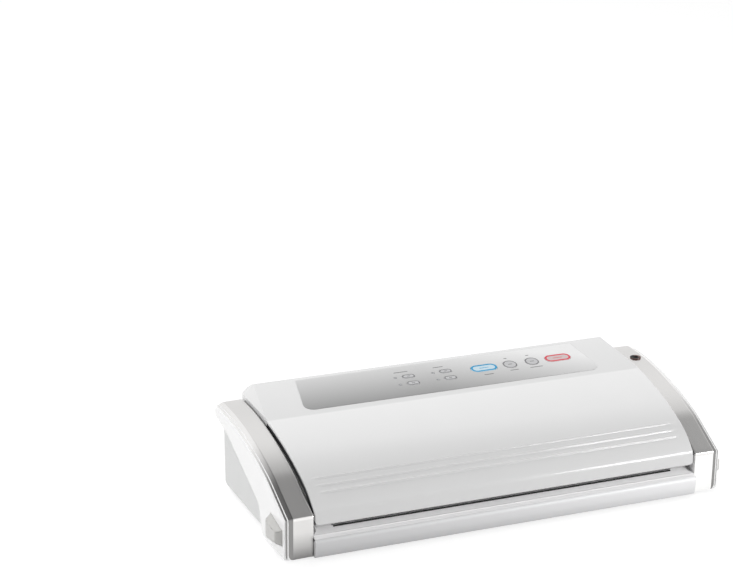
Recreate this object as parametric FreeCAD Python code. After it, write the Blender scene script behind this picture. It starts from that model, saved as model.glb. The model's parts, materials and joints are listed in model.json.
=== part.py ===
"""Vacuum packing machine: a base with two splayed arms, a lid hinged at the rear between them,
a control panel on the lid, a release button in each arm, and the pump and power parts inside.

Millimetres, +Z up. The model is built with y = 0 at the front face of the arms and moved at the
end, so that the origin is the centre of the machine's base. "Side outlines" lie in the y-z plane.
"""
import FreeCAD, Part
import math
import os

# ---------------------------------------------------------------- driving dimensions
BAG_WIDTH = 303.0          # widest bag that enters the slot
ARM_INNER = 169.3          # half the distance between the arms, at the front
ARM_SPLAY = 1.97           # degrees that each arm turns outward towards the rear
STRIP_WIDTH = 17.0         # flat top of the metal bezel
CHAMFER_WIDTH = 5.7        # sloping outer edge of the bezel
CHAMFER_DROP = 2.8
BEZEL_THICK = 1.6
BAND_PROUD = 1.0           # how far the arm's side stands out past the bezel
ARM_WALL = 2.4
ARM_SILL = 3.0             # height of the arms' lower edge
ARM_FRONT_HEIGHT = 38.7
ARM_FRONT_LEAN = 1.3       # degrees
ARM_CORNER_RADIUS = 1.5
ARM_INNER_CORNER = 0.3     # corner radius of the layers under the bezel
ARM_RAMP = 24.9            # slope of the straight front stretch of the arms
ARM_RAMP_RUN = 38.6
ARM_ARCS = ((100.0, 18.2), (333.0, -2.5), (6.0, -62.5), (6.0, -90.0))   # radius, slope after it
ARM_ROOM_ARCS = 2          # arcs over the room inside an arm
BEZEL_ARCS = 3             # arcs covered by the metal bezel
BAND_CORNER_RADIUS = 2.0   # lower rear corner of the arm's side
BAND_REAR_SLOPE = 12.0     # lower edge of the arm's side, from the rear end forward
BAND_BEND = (139.7, 58.3)  # place, height where the lower edge starts to bend
BAND_BEND_RADIUS = 80.0
BAND_SLOPE = 22.5
BAND_SLOPE_RUN = 65.2
PAD_BEND_RADIUS = 10.0
PAD_LEAN = 77.0            # slope of the rear edge of the arm's front pad
PAD_CORNER_RADIUS = 6.0

CASING_DEPTH = 168.5
CASING_FLOOR = 2.5         # height of the casing's underside
CASING_WALL = 2.2
CASING_FLOOR_THICK = 2.5
CASING_CORNER_RADIUS = 20.0
CASING_KEEL_RADIUS = 7.5
CASING_FRONT = 5.0

SHELF_FRONT = -2.5
SHELF_FRONT_HEIGHT = 19.1
SHELF_SLOPE = 22.0
SHELF_RUN = 11.6           # depth of the sloping shelf under the bag slot
SHELF_CHEEK_RUN = 14.4     # depth of the shelf beside the bag slot
SHELF_NOTCH = 3.6          # corner cut off the shelf's ends
DECK_HEIGHT = 21.0
DECK_THICK = 2.5
HOUSING_FRONT = 80.0
HOUSING_REAR = 148.5
HOUSING_HEIGHT = 60.0
HOUSING_HALF = 164.5
HOUSING_WALL = 2.5
REAR_DECK_HEIGHT = 53.5
FASCIA_THICK = 2.5
FASCIA_FOOT = 2.8
FASCIA_LEAN = 10.0         # degrees that the fascia leans back towards its foot
FASCIA_BROW_RADIUS = 3.0
FASCIA_BROW_START = 25.0   # slope where the fascia's brow leaves the shelf
FASCIA_FOOT_RADIUS = 1.5
PARTING = 0.3              # fine gap between the shelf and the fascia

LID_GAP = 1.2              # between the lid's ends and the arms
LID_WALL = 2.5
LID_FRONT = 0.4
LID_LIP_HEIGHT = 29.1
LID_LIP_SLOPE = 86.9
LID_LIP_RUN = 8.6
LID_BROW_RADIUS = 7.0
LID_BROW_SLOPE = 41.0
LID_BROW_RUN = 6.6
LID_ARCS = ((65.0, 22.5), (240.0, 16.0), (314.0, 5.7))   # radius, slope where the arc ends
LID_CREASE_RADIUS = 12.0
BOX_SLOPE = 9.1            # control panel box on the rear of the lid
BOX_RUN = 58.5
BOX_REAR_RADIUS = 4.0
BOX_FACET_INSET = 9.5      # bevel at the box's ends: inset of its top rear corner
BOX_FACET_DROP = 8.4
LID_REAR_HEIGHT = 58.0
LINER_THICK = 2.0
LINER_HEIGHT = 30.5
LINER_STEP = 76.0          # where the liner rises over the housing
LINER_ROOF = 62.5
LINER_REAR = 150.0
LINER_CLEARANCE = 0.2

RIB_PROUD = 0.8
RIB_WIDTH = 3.0
RIB_TAPER = 9.0            # length of a rib's tapering end
RIBS = ((25.7, 4.4), (18.9, 5.7), (13.5, 6.3))   # place behind the front, inset from the ends

HINGE_Y = 163.0
HINGE_HEIGHT = 68.0
HINGE_SPACING = 121.0      # half the distance between the two hinges
PIN_RADIUS = 2.0
PIN_SEAT = 0.02            # radial clearance in the bracket
PIN_RUNNING = 0.05         # radial clearance in the lid's leaf
EAR_THICK = 4.0
BRACKET_THICK = 1.6
EAR_RADIUS = 4.0
LEAF_WIDTH = 9.2
LEAF_RADIUS = 4.2
LEAF_SIDE_GAP = 0.4
LEAF_HEIGHT = 14.0
HINGE_NOTCH_RISE = 5.0     # how far the lid's rear notches reach above the hinge axis
HINGE_NOTCH_MARGIN = 2.0

SEAL_FRONT = 15.5
SEAL_DEPTH = 8.0
SEAL_BAR_HEIGHT = 4.2
WIRE_WIDTH = 2.5
WIRE_THICK = 0.3
TAPE_WIDTH = 6.0
TAPE_THICK = 0.3
SEAL_GAP = 0.4             # between the resting lid's pressure strip and the tape
GASKET_HALF = 150.0
GASKET_FRONT = 30.0
GASKET_DEPTH = 42.0
GASKET_WIDTH = 5.0
GASKET_HEIGHT = 5.0
GASKET_GAP = 0.3
TROUGH_HALF = 141.0
TROUGH_MARGIN = 2.4        # from the gasket's inner edge to the trough's wall
TROUGH_DEPTH = 12.0
TROUGH_WALL = 1.5
TROUGH_FLANGE = 1.8
TROUGH_RIM = 1.0
FIT = 0.2                  # general clearance between assembled pieces

BUTTON_FRONT = 7.5
BUTTON_LENGTH = 26.5
BUTTON_LOW_FRONT = 13.5
BUTTON_LOW_REAR = 8.5
BUTTON_HIGH_FRONT = 26.5
BUTTON_HIGH_REAR = 31.3
BUTTON_PROUD = 5.4
BUTTON_DRAFT = 2.6
BUTTON_CHEEK = 6.0         # depth of the button inside the arm
BUTTON_CLEARANCE = 0.4
BUTTON_TRAVEL = 3.0
SLIDER_FRONT = 26.5
SLIDER_WIDTH = 7.0
SLIDER_LOW = 11.0
SLIDER_HIGH = 15.5
SLIDER_INNER = 150.0
HOOK_GAP = 0.5             # between the resting hook and the latch slider
HOOK_X = 157.0
HOOK_WIDTH = 5.0
HOOK_DEPTH = 5.6
HOOK_TOE = 1.6
HOOK_SWING = 3.0           # room in front of the hook as the lid rises
SPRING_RADIUS = 3.4
SPRING_WIRE = 0.5
SPRING_TURNS = 5
SPRING_Y = 17.0
SPRING_HEIGHT = 20.5

PANEL_FRONT = 6.0          # panel places: distance up the box's slope from the crease
PANEL_REAR = 55.0
PANEL_FRONT_LEFT = -136.3
PANEL_REAR_LEFT = -128.3
PANEL_FRONT_RIGHT = 138.5
PANEL_REAR_RIGHT = 131.0
PANEL_CORNER = 8.0
PANEL_THICK = 0.4
KEY_PROUD = 0.2            # above the panel sheet
KEY_DEPTH = 1.2
KEY_TRAVEL = 0.5
KEY_GAP = 0.2
SMALL_KEY = (11.4, 6.0)
WIDE_KEY = (24.6, 11.4)
ROUND_KEY = (12.6, 12.6)
KEYS = (                   # name, size, place across, place up the slope
    ("key_mode_upper", SMALL_KEY, -31.6, 37.1),
    ("key_mode_lower", SMALL_KEY, -31.6, 25.4),
    ("key_time_upper", SMALL_KEY, 2.9, 37.1),
    ("key_time_lower", SMALL_KEY, 2.9, 25.4),
    ("key_vacuum_seal", WIDE_KEY, 37.9, 33.6),
    ("key_seal", ROUND_KEY, 62.8, 33.5),
    ("key_pulse", ROUND_KEY, 83.9, 33.5),
    ("key_cancel", WIDE_KEY, 109.0, 33.6),
)
LED_RADIUS = 1.3
LED_PLACES = ((-43.6, 37.4), (-43.6, 25.4), (-8.7, 37.0), (-8.7, 25.2))
STEM_RADIUS = 1.5
STEM_LENGTH = 3.2
SWITCH_SIZE = 6.0
SWITCH_HEIGHT = 3.0
SWITCH_GAP = 0.7
BOARD_THICK = 1.6
BOARD_LEFT = -60.0
BOARD_RIGHT = 126.0
BOARD_FRONT = 11.0
BOARD_REAR = 53.0
POST_RADIUS = 2.6

PORT_Y = 135.0             # accessory hose port in the right arm's top
PORT_OFFSET = 9.6          # from the arm's inner edge
PORT_RADIUS = 2.5
PORT_RIM_RADIUS = 4.8
PORT_RIM_PROUD = 0.8
PORT_LENGTH = 9.0
PORT_BODY_RADIUS = 4.0
HOSE_RADIUS = 3.0
HOSE_BORE = 1.8
HOSE_HEIGHT = 11.0
HOSE_BEND = 3.5

FOOT_RADIUS = 8.0
FOOT_PLACES = ((150.0, 26.0), (152.0, 143.0))
SCREW_PLACES = ((157.5, 62.0), (151.0, 124.0), (0.0, 124.0))
SCREW_RADIUS = 1.5
SCREW_HEAD_RADIUS = 3.0
SCREW_HEAD = 1.5
SCREW_REACH = 9.0
BOSS_RADIUS = 4.0
LID_SCREW_PLACES = ((146.0, 9.0), (0.0, 9.0), (146.0, 140.0))
LID_SCREW_REACH = 6.5

PUMP_X = -42.0
PUMP_Y = 108.0
PUMP_RADIUS = 17.0
PUMP_LENGTH = 56.0
PUMP_NOSE = 3.0
PUMP_HEAD = (30.0, 44.0, 38.0)
PUMP_SADDLE = 6.0
TRANSFORMER_X = 44.0
TRANSFORMER = (46.0, 34.0, 40.0)
WINDING = (30.0, 40.0, 26.0)
POWER_BOARD_X = 108.0
POWER_BOARD = (70.0, 36.0)
POWER_BOARD_LIFT = 6.0
MICRO_SWITCH = (6.0, 14.0)
GLAND_X = -120.0
GLAND_HEIGHT = 26.0
GLAND_RADIUS = 6.0
GLAND_BORE = 3.6
GLAND_NECK = 4.6
GLAND_INSIDE = 3.0
GLAND_FLANGE = 1.5
GLAND_REACH = 7.0
GLAND_COLLAR = 8.5
NOZZLE_RADIUS = 4.0
NOZZLE_BORE = 2.4

SINE = math.sin(math.radians(ARM_SPLAY))
COSINE = math.cos(math.radians(ARM_SPLAY))
ARM_SKIN = BEZEL_THICK + 0.1                  # the bezel lies 0.1 off the arm's cover
ARM_WIDTH = STRIP_WIDTH + CHAMFER_WIDTH + BAND_PROUD
FAR = 500.0                                   # cutting solids reach this far past the machine


# ---------------------------------------------------------------- shape helpers
def vector(x, y, z):
    return FreeCAD.Vector(x, y, z)


def box(x0, x1, y0, y1, z0, z1):
    return Part.makeBox(x1 - x0, y1 - y0, z1 - z0, vector(x0, y0, z0))


def post(radius, x, y, z0, z1):
    return Part.makeCylinder(radius, z1 - z0, vector(x, y, z0))


def fuse(shapes):
    """One solid from several, without seams."""
    first, rest = shapes[0], shapes[1:]
    return first.multiFuse(rest).removeSplitter() if rest else first


class Outline:
    """A chain of lines and arcs in the y-z plane, built by running along it.

    inset moves the whole chain that far to the right of the way it runs.
    """

    def __init__(self, y, z, heading, inset=0.0):
        self.heading = heading
        self.inset = inset
        side_y, side_z = self.right()
        self.y = y + inset * side_y
        self.z = z + inset * side_z
        self.edges = []

    def right(self):
        angle = math.radians(self.heading)
        return math.sin(angle), -math.cos(angle)

    def point(self):
        return vector(0, self.y, self.z)

    def line(self, length):
        angle = math.radians(self.heading)
        return self.to(self.y + length * math.cos(angle), self.z + length * math.sin(angle))

    def to(self, y, z):
        start = self.point()
        self.y, self.z = y, z
        if (self.point() - start).Length > 1e-6:
            self.edges.append(Part.makeLine(start, self.point()))
        return self

    def arc(self, radius, turn):
        """Turn left by turn degrees, or right where turn is below 0."""
        way = 1.0 if turn > 0 else -1.0
        radius = radius + way * self.inset
        side_y, side_z = self.right()
        centre_y, centre_z = self.y - way * radius * side_y, self.z - way * radius * side_z
        places = [self.point()]
        start = self.heading
        for share in (0.5, 1.0):
            self.heading = start + share * turn
            side_y, side_z = self.right()
            self.y = centre_y + way * radius * side_y
            self.z = centre_z + way * radius * side_z
            places.append(self.point())
        self.edges.append(Part.Arc(*places).toShape())
        return self

    def face(self, *closing):
        """The area inside the chain and the straight lines through the closing points."""
        start = self.edges[0].Vertexes[0].Point
        for y, z in closing:
            self.to(y, z)
        self.to(start.y, start.z)
        return Part.Face(Part.Wire(self.edges))


def prism(face, x0, x1):
    moved = face.copy()
    moved.translate(vector(x0, 0, 0))
    return moved.extrude(vector(x1 - x0, 0, 0))


def polygon(points, x0, x1):
    """A prism on the side outline through the points."""
    corners = [vector(0, y, z) for y, z in points]
    return prism(Part.Face(Part.makePolygon(corners + corners[:1])), x0, x1)


def mirrored(shape):
    return shape.mirror(vector(0, 0, 0), vector(1, 0, 0))


def both_sides(shape):
    return [shape, mirrored(shape)]


def tube(points, outer, inner, bend):
    """A hose along straight stretches with rounded bends."""
    edges = []
    start = points[0]
    for corner, after in zip(points[1:-1], points[2:]):
        back = (start - corner).normalize()
        ahead = (after - corner).normalize()
        enter, leave = corner + back * bend, corner + ahead * bend
        middle = corner + (back + ahead) * bend * (1 - math.sqrt(0.5))
        edges += [Part.makeLine(start, enter), Part.Arc(enter, middle, leave).toShape()]
        start = leave
    edges.append(Part.makeLine(start, points[-1]))
    spine = Part.Wire(edges)
    along = points[1] - points[0]
    solids = []
    for radius in (outer, inner):
        ring = Part.Wire(Part.makeCircle(radius, points[0], along))
        solids.append(spine.makePipeShell([ring], True, False))
    return solids[0].cut(solids[1])


# ---------------------------------------------------------------- arms
def arm_crest(inset=0.0, arcs=len(ARM_ARCS)):
    """Front face, ramp and back of an arm, from its front foot to the end of one of its arcs."""
    front = math.radians(90 + ARM_FRONT_LEAN)
    ramp = math.radians(ARM_RAMP)
    turn = ARM_RAMP - 90 - ARM_FRONT_LEAN
    radius = max(ARM_CORNER_RADIUS - inset, ARM_INNER_CORNER)
    rounding = radius * math.tan(math.radians(-turn / 2))
    blend = inset / (1 + math.cos(front - ramp))
    corner_y = blend * (math.sin(front) + math.sin(ramp))
    corner_z = ARM_FRONT_HEIGHT - blend * (math.cos(front) + math.cos(ramp))
    foot_y = (ARM_SILL - ARM_FRONT_HEIGHT) / math.tan(front)
    chain = Outline(foot_y, ARM_SILL, 90 + ARM_FRONT_LEAN, inset)
    chain.to(corner_y - rounding * math.cos(front), corner_z - rounding * math.sin(front))
    chain.arc(radius + inset, turn)
    chain.to(ARM_RAMP_RUN * math.cos(ramp) + inset * math.sin(ramp),
             ARM_FRONT_HEIGHT + ARM_RAMP_RUN * math.sin(ramp) - inset * math.cos(ramp))
    for radius, slope in ARM_ARCS[:arcs]:
        chain.arc(radius, slope - chain.heading)
    return chain


def band_height(y):
    """Height of the lower edge of the arm's side near its rear end."""
    bend_y, bend_z = BAND_BEND
    return bend_z + (y - bend_y) * math.tan(math.radians(BAND_REAR_SLOPE))


def arm_face(inset=0.0):
    """Side outline of an arm's outer wall: the band along the top and the pad at the front."""
    chain = arm_crest(inset)
    chain.inset = 0.0
    turn = BAND_REAR_SLOPE - 90
    rounding = BAND_CORNER_RADIUS * math.tan(math.radians(-turn / 2))
    chain.to(chain.y, band_height(chain.y) + rounding).arc(BAND_CORNER_RADIUS, turn)
    chain.to(*BAND_BEND)
    chain.arc(BAND_BEND_RADIUS, BAND_SLOPE - BAND_REAR_SLOPE).line(BAND_SLOPE_RUN)
    chain.arc(PAD_BEND_RADIUS, PAD_LEAN - BAND_SLOPE)
    lean = math.radians(PAD_LEAN)
    chain.line((chain.z - ARM_SILL - PAD_CORNER_RADIUS * (1 - math.cos(lean))) / math.sin(lean))
    chain.arc(PAD_CORNER_RADIUS, -PAD_LEAN)
    return chain.to(arm_crest(inset).edges[0].Vertexes[0].Y, ARM_SILL).face()


def arm_height(y):
    """Height of the arm's top at depth y."""
    return Part.makeLine(vector(0, y, 0), vector(0, y, FAR)).common(arm_face()).BoundBox.ZMax


def arm_space(inset, arcs=ARM_ROOM_ARCS):
    """Side outline of the room under an arm's skin, open below."""
    chain = arm_crest(inset, arcs)
    return chain.face((chain.y, -FAR), (chain.edges[0].Vertexes[0].Y, -FAR))


def ruled(face_a, x_a, face_b, x_b):
    """The solid between two side outlines with matching edges."""
    wires = []
    for face, x in ((face_a, x_a), (face_b, x_b)):
        wire = face.OuterWire.copy()
        wire.translate(vector(x, 0, 0))
        wires.append(wire)
    return Part.makeLoft(wires, True, True)


def ribbon_face(inset):
    """Side outline of the metal bezel."""
    outer = arm_crest(inset, BEZEL_ARCS)
    inner = arm_crest(inset + BEZEL_THICK, BEZEL_ARCS)
    edges = outer.edges + [Part.makeLine(outer.point(), inner.point())]
    edges += inner.edges + [Part.makeLine(inner.edges[0].Vertexes[0].Point,
                                          outer.edges[0].Vertexes[0].Point)]
    return Part.Face(Part.Wire(Part.__sortEdges__(edges)))


def splay(shape):
    """Turn a piece of the right arm, built square, outward with the arm."""
    shape.rotate(vector(ARM_INNER, 0, 0), vector(0, 0, 1), -ARM_SPLAY)
    return shape


def beside(offset, y):
    """How far out, at depth y, a plane lies that runs offset outside the arm's inner face."""
    return ARM_INNER + (offset + y * SINE) / COSINE


def between_arms(offset, y0, y1, z0, z1):
    """A block between the two arms, its ends parallel to them and offset from their faces."""
    corners = [(beside(offset, y0), y0), (beside(offset, y1), y1),
               (-beside(offset, y1), y1), (-beside(offset, y0), y0)]
    points = [vector(x, y, z0) for x, y in corners]
    return Part.Face(Part.makePolygon(points + points[:1])).extrude(vector(0, 0, z1 - z0))


def bezel():
    flat = ARM_INNER + STRIP_WIDTH
    top = prism(ribbon_face(0.0), ARM_INNER, flat)
    edge = ruled(ribbon_face(0.0), flat, ribbon_face(CHAMFER_DROP), flat + CHAMFER_WIDTH)
    return fuse([top, edge])


def button_outline(grow, proud):
    """Side outline of the release button: its four corners, counted from the low front one."""
    rear = BUTTON_FRONT + BUTTON_LENGTH
    lift = 1.6 * proud
    return [(BUTTON_FRONT - grow + proud, BUTTON_LOW_FRONT - grow + proud),
            (BUTTON_FRONT - grow + proud, BUTTON_HIGH_FRONT + grow - 0.5 * proud),
            (rear + grow - proud, BUTTON_HIGH_REAR + grow - lift),
            (rear + grow - proud, BUTTON_LOW_REAR - grow + lift)]


def button_hole(x0, x1):
    return polygon(button_outline(BUTTON_CLEARANCE, 0.0), x0, x1)


def arm_cover():
    flat = ARM_INNER + STRIP_WIDTH
    rim = flat + CHAMFER_WIDTH
    outside = ARM_INNER + ARM_WIDTH
    skin = ARM_SKIN + ARM_WALL
    wall = outside - ARM_WALL
    cover = [prism(arm_face(ARM_SKIN), ARM_INNER, flat),
             ruled(arm_face(ARM_SKIN), flat, arm_face(ARM_SKIN + CHAMFER_DROP), rim),
             prism(arm_face(CHAMFER_DROP), rim, outside)]
    solid = fuse(cover)
    edge = flat - ARM_WALL
    room = fuse([prism(arm_space(skin), ARM_INNER + ARM_WALL, edge),
                 prism(arm_space(skin + CHAMFER_DROP), edge, wall)])
    floor = CASING_FLOOR + CASING_FLOOR_THICK
    over_floor = box(ARM_INNER - 1, wall, CASING_FRONT - FIT, FAR, -1, floor)
    solid = solid.cut(room).cut(over_floor)
    side = box(ARM_INNER, ARM_INNER + ARM_WALL, CASING_FRONT, CASING_DEPTH - CASING_WALL - FIT,
               floor, ARM_FRONT_HEIGHT * 2)
    side = side.common(prism(arm_space(ARM_SKIN, BEZEL_ARCS), ARM_INNER, ARM_INNER + ARM_WALL))
    corner = CASING_CORNER_RADIUS - CASING_WALL
    side = side.cut(box(ARM_INNER - 1, wall, CASING_DEPTH - corner, FAR, -1,
                        CASING_FLOOR + CASING_KEEL_RADIUS + FIT))
    solid = fuse([solid, side])
    slot = box(ARM_INNER - 1, ARM_INNER + ARM_WALL + 1, SLIDER_FRONT - BUTTON_CLEARANCE,
               SLIDER_FRONT + SLIDER_WIDTH + BUTTON_CLEARANCE,
               SLIDER_LOW - BUTTON_CLEARANCE, SLIDER_HIGH + BUTTON_CLEARANCE)
    return solid.cut(button_hole(wall - 1, outside + 1)).cut(slot)


def release_button():
    """Cheeks that slide in the arm's wall, with a drafted head outside it."""
    outside = ARM_INNER + ARM_WIDTH
    root = outside - BUTTON_CHEEK
    wires = []
    for shrink, x in ((0.0, outside - FIT), (BUTTON_DRAFT, outside + BUTTON_PROUD)):
        corners = [vector(x, y, z) for y, z in button_outline(0.0, shrink)]
        wires.append(Part.makePolygon(corners + corners[:1]))
    head = Part.makeLoft(wires, True, True)
    return fuse([polygon(button_outline(0.0, 0.0), root, outside - FIT), head])


def latch_slider():
    root = ARM_INNER + ARM_WIDTH - BUTTON_CHEEK
    return box(SLIDER_INNER, root, SLIDER_FRONT, SLIDER_FRONT + SLIDER_WIDTH,
               SLIDER_LOW, SLIDER_HIGH)


def button_spring():
    x0 = ARM_INNER + ARM_WALL + SPRING_WIRE + FIT / 2
    length = ARM_WIDTH - BUTTON_CHEEK - ARM_WALL - 2 * SPRING_WIRE - FIT
    helix = Part.makeHelix(length / SPRING_TURNS, length, SPRING_RADIUS)
    ring = Part.Wire(Part.makeCircle(SPRING_WIRE, vector(SPRING_RADIUS, 0, 0), vector(0, 1, 0)))
    coil = Part.Wire(helix.Edges).makePipeShell([ring], True, True)
    coil.rotate(vector(0, 0, 0), vector(0, 1, 0), 90)
    coil.translate(vector(x0, SPRING_Y, SPRING_HEIGHT))
    return coil


# ---------------------------------------------------------------- base
def casing_block(inset, floor, corner, keel):
    """The casing's outline raised to a block, with rounded rear corners and lower edges."""
    offset = ARM_WIDTH - ARM_WALL - FIT - inset
    front, rear = CASING_FRONT, CASING_DEPTH - inset
    corners = [(beside(offset, front), front), (beside(offset, rear), rear),
               (-beside(offset, rear), rear), (-beside(offset, front), front)]
    points = [vector(x, y, floor) for x, y in corners]
    block = Part.Face(Part.makePolygon(points + points[:1])).extrude(vector(0, 0, 2 * HINGE_HEIGHT))
    upright = [e for e in block.Edges
               if abs(e.tangentAt(e.FirstParameter).z) > 0.9 and e.BoundBox.YMin > front + 1]
    block = block.makeFillet(corner, upright)
    low = [e for e in block.Edges
           if e.BoundBox.ZMax < floor + 0.01 and e.BoundBox.YMax > front + 0.01]
    return block.makeFillet(keel, low)


def casing_top():
    """Height of the base plate's upper face."""
    return CASING_FLOOR + CASING_FLOOR_THICK


def casing_tray():
    """The casing's walls and floor, cut to the room under the arms' skin."""
    top = casing_top()
    block = casing_block(0.0, CASING_FLOOR, CASING_CORNER_RADIUS, CASING_KEEL_RADIUS)
    room = casing_block(CASING_WALL, top, CASING_CORNER_RADIUS - CASING_WALL,
                        CASING_KEEL_RADIUS - CASING_WALL)
    tray = block.cut(room)
    under_skin = ARM_SKIN + ARM_WALL + CHAMFER_DROP + FIT
    nose = arm_crest(under_skin, ARM_ROOM_ARCS).y - FIT
    x0, x1 = ARM_INNER + ARM_WALL + FIT, ARM_INNER + ARM_WIDTH
    arm_room = prism(arm_space(under_skin), x0, x1).cut(box(x0, x1, nose, FAR, -FAR, FAR))
    arm_room = splay(fuse([arm_room, box(x0, x1, nose, FAR, -1, band_height(nose) - FIT)]))
    middle = between_arms(ARM_WALL + 2 * FIT, 0, FAR, -1, REAR_DECK_HEIGHT - DECK_THICK)
    floor = box(-FAR, FAR, 0, FAR, -1, top)
    return tray.common(fuse([middle, floor, *both_sides(arm_room)]))


def lower_casing():
    """The casing's side and rear walls, which stand on the base plate."""
    walls = casing_tray().common(box(-FAR, FAR, -FAR, FAR, casing_top(), FAR))
    wall = ARM_INNER + ARM_WIDTH - ARM_WALL - CASING_KEEL_RADIUS
    for hole in both_sides(splay(button_hole(wall, ARM_INNER + ARM_WIDTH))):
        walls = walls.cut(hole)
    gland_hole = Part.makeCylinder(GLAND_RADIUS, CASING_WALL * 4,
                                   vector(GLAND_X, CASING_DEPTH - 2 * CASING_WALL, GLAND_HEIGHT),
                                   vector(0, 1, 0))
    return walls.cut(gland_hole)


def base_plate():
    """The casing's floor, with the latch sliders' guides and the screws' holes."""
    top = casing_top()
    guide = box(SLIDER_INNER + 1, ARM_INNER - 2, SLIDER_FRONT, SLIDER_FRONT + SLIDER_WIDTH,
                top - 0.5, SLIDER_LOW - FIT)
    plate = casing_tray().common(box(-FAR, FAR, -FAR, FAR, 0, top))
    plate = fuse([plate, *both_sides(splay(guide))])
    low = CASING_FLOOR - 1
    for x, y in SCREW_PLACES:
        hole = fuse([post(SCREW_RADIUS + FIT / 2, x, y, low, top + 1),
                     post(SCREW_HEAD_RADIUS + FIT, x, y, low, CASING_FLOOR + SCREW_HEAD)])
        for one in both_sides(hole):
            plate = plate.cut(one)
    return plate


def shelf(run):
    """The sloping shelf in front of the deck."""
    slope = math.tan(math.radians(SHELF_SLOPE))
    rear = SHELF_FRONT + run
    under = DECK_HEIGHT - DECK_THICK
    front = SHELF_FRONT + PARTING
    return polygon([(front, under), (front, SHELF_FRONT_HEIGHT + slope * PARTING),
                    (rear, SHELF_FRONT_HEIGHT + slope * run), (rear, under)], -FAR, FAR)


def top_deck():
    """Shelf, deck, the raised housing over the works and the rear deck under the lid's hinge."""
    under = DECK_HEIGHT - DECK_THICK
    inner_rear = HOUSING_REAR - HOUSING_WALL
    half = HOUSING_HALF
    rear_edge = CASING_DEPTH
    span = -FIT
    cheek = shelf(SHELF_CHEEK_RUN).cut(
        box(-BAG_WIDTH / 2, BAG_WIDTH / 2, SHELF_FRONT + SHELF_RUN, FAR, -1, FAR))
    ends = between_arms(span, SHELF_FRONT, FAR, -1, FAR)
    notches = []
    for side in (1, -1):
        x = side * beside(span, SHELF_FRONT)
        points = [vector(x + side, SHELF_FRONT + 3, 0), vector(x + side, FAR / 10, 0),
                  vector(x - side * SHELF_NOTCH, FAR / 10, 0),
                  vector(x - side * SHELF_NOTCH, SHELF_FRONT + 9, 0)]
        points.append(points[0])
        notch = Part.Face(Part.makePolygon(points)).extrude(vector(0, 0, FAR))
        notch.translate(vector(0, 0, DECK_HEIGHT))
        notches.append(notch)
    shell = [cheek.cut(notches[0]).cut(notches[1]),
             box(-FAR, FAR, 1, HOUSING_REAR, under, DECK_HEIGHT),
             box(-half, half, HOUSING_FRONT, HOUSING_REAR, under, HOUSING_HEIGHT),
             box(-FAR, FAR, inner_rear, HOUSING_REAR, under, REAR_DECK_HEIGHT),
             box(-FAR, FAR, inner_rear, rear_edge, REAR_DECK_HEIGHT - DECK_THICK, REAR_DECK_HEIGHT)]
    deck = fuse(shell).common(ends)
    room = box(-half + HOUSING_WALL, half - HOUSING_WALL, HOUSING_FRONT + HOUSING_WALL,
               inner_rear, -1, HOUSING_HEIGHT - HOUSING_WALL)
    passage = box(-half + HOUSING_WALL, half - HOUSING_WALL, inner_rear - 1, HOUSING_REAR + 1,
                  -1, REAR_DECK_HEIGHT - DECK_THICK)
    deck = deck.cut(room).cut(passage)
    top = CASING_FLOOR + CASING_FLOOR_THICK
    bosses = []
    for x, y in SCREW_PLACES:
        roof = HOUSING_HEIGHT - 1 if y > HOUSING_FRONT else DECK_HEIGHT - 1
        for place in sorted({x, -x}):
            bosses.append(post(BOSS_RADIUS, place, y, top, roof))
    deck = fuse([deck, *bosses])
    for x, y in SCREW_PLACES:
        for place in sorted({x, -x}):
            deck = deck.cut(post(SCREW_RADIUS + 0.02, place, y, top - 1, top + SCREW_REACH))
    fall = trough_box(FIT)
    deck = deck.cut(box(*fall, under - 1, DECK_HEIGHT + 1))
    window = box(HOOK_X - HOOK_WIDTH, HOOK_X + HOOK_WIDTH - 1, SLIDER_FRONT - HOOK_SWING,
                 SLIDER_FRONT + SLIDER_WIDTH + 1, under - 1, DECK_HEIGHT + 1)
    for one in both_sides(window):
        deck = deck.cut(one)
    return deck


def front_fascia():
    """The rounded face under the shelf's front edge, with a foot on the casing's floor."""
    ledge = CASING_FLOOR + CASING_FLOOR_THICK
    chain = Outline(SHELF_FRONT, SHELF_FRONT_HEIGHT, 180 + FASCIA_BROW_START)
    chain.arc(FASCIA_BROW_RADIUS, 90 + FASCIA_LEAN - FASCIA_BROW_START)
    lean = math.radians(FASCIA_LEAN)
    drop = chain.z - FASCIA_FOOT - FASCIA_FOOT_RADIUS * (1 - math.sin(lean))
    chain.line(drop / math.cos(lean))
    foot = chain.y
    chain.arc(FASCIA_FOOT_RADIUS, 90 - FASCIA_LEAN)
    face = chain.face((CASING_FRONT - FIT, FASCIA_FOOT), (CASING_FRONT - FIT, ledge),
                      (CASING_FRONT + 2 * FASCIA_THICK, ledge),
                      (CASING_FRONT + 2 * FASCIA_THICK, ledge + FASCIA_THICK),
                      (foot + FASCIA_THICK, ledge + FASCIA_THICK),
                      (SHELF_FRONT, DECK_HEIGHT - DECK_THICK - FASCIA_THICK))
    return prism(face, -FAR, FAR).common(between_arms(-FIT, -FAR, FAR / 10, -1, FAR))


def trough_box(grow):
    """The trough's walls in plan: x0, x1, y0, y1."""
    front = GASKET_FRONT + GASKET_WIDTH + TROUGH_MARGIN
    rear = GASKET_FRONT + GASKET_DEPTH - GASKET_WIDTH - TROUGH_MARGIN
    return -TROUGH_HALF - grow, TROUGH_HALF + grow, front - grow, rear + grow


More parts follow.
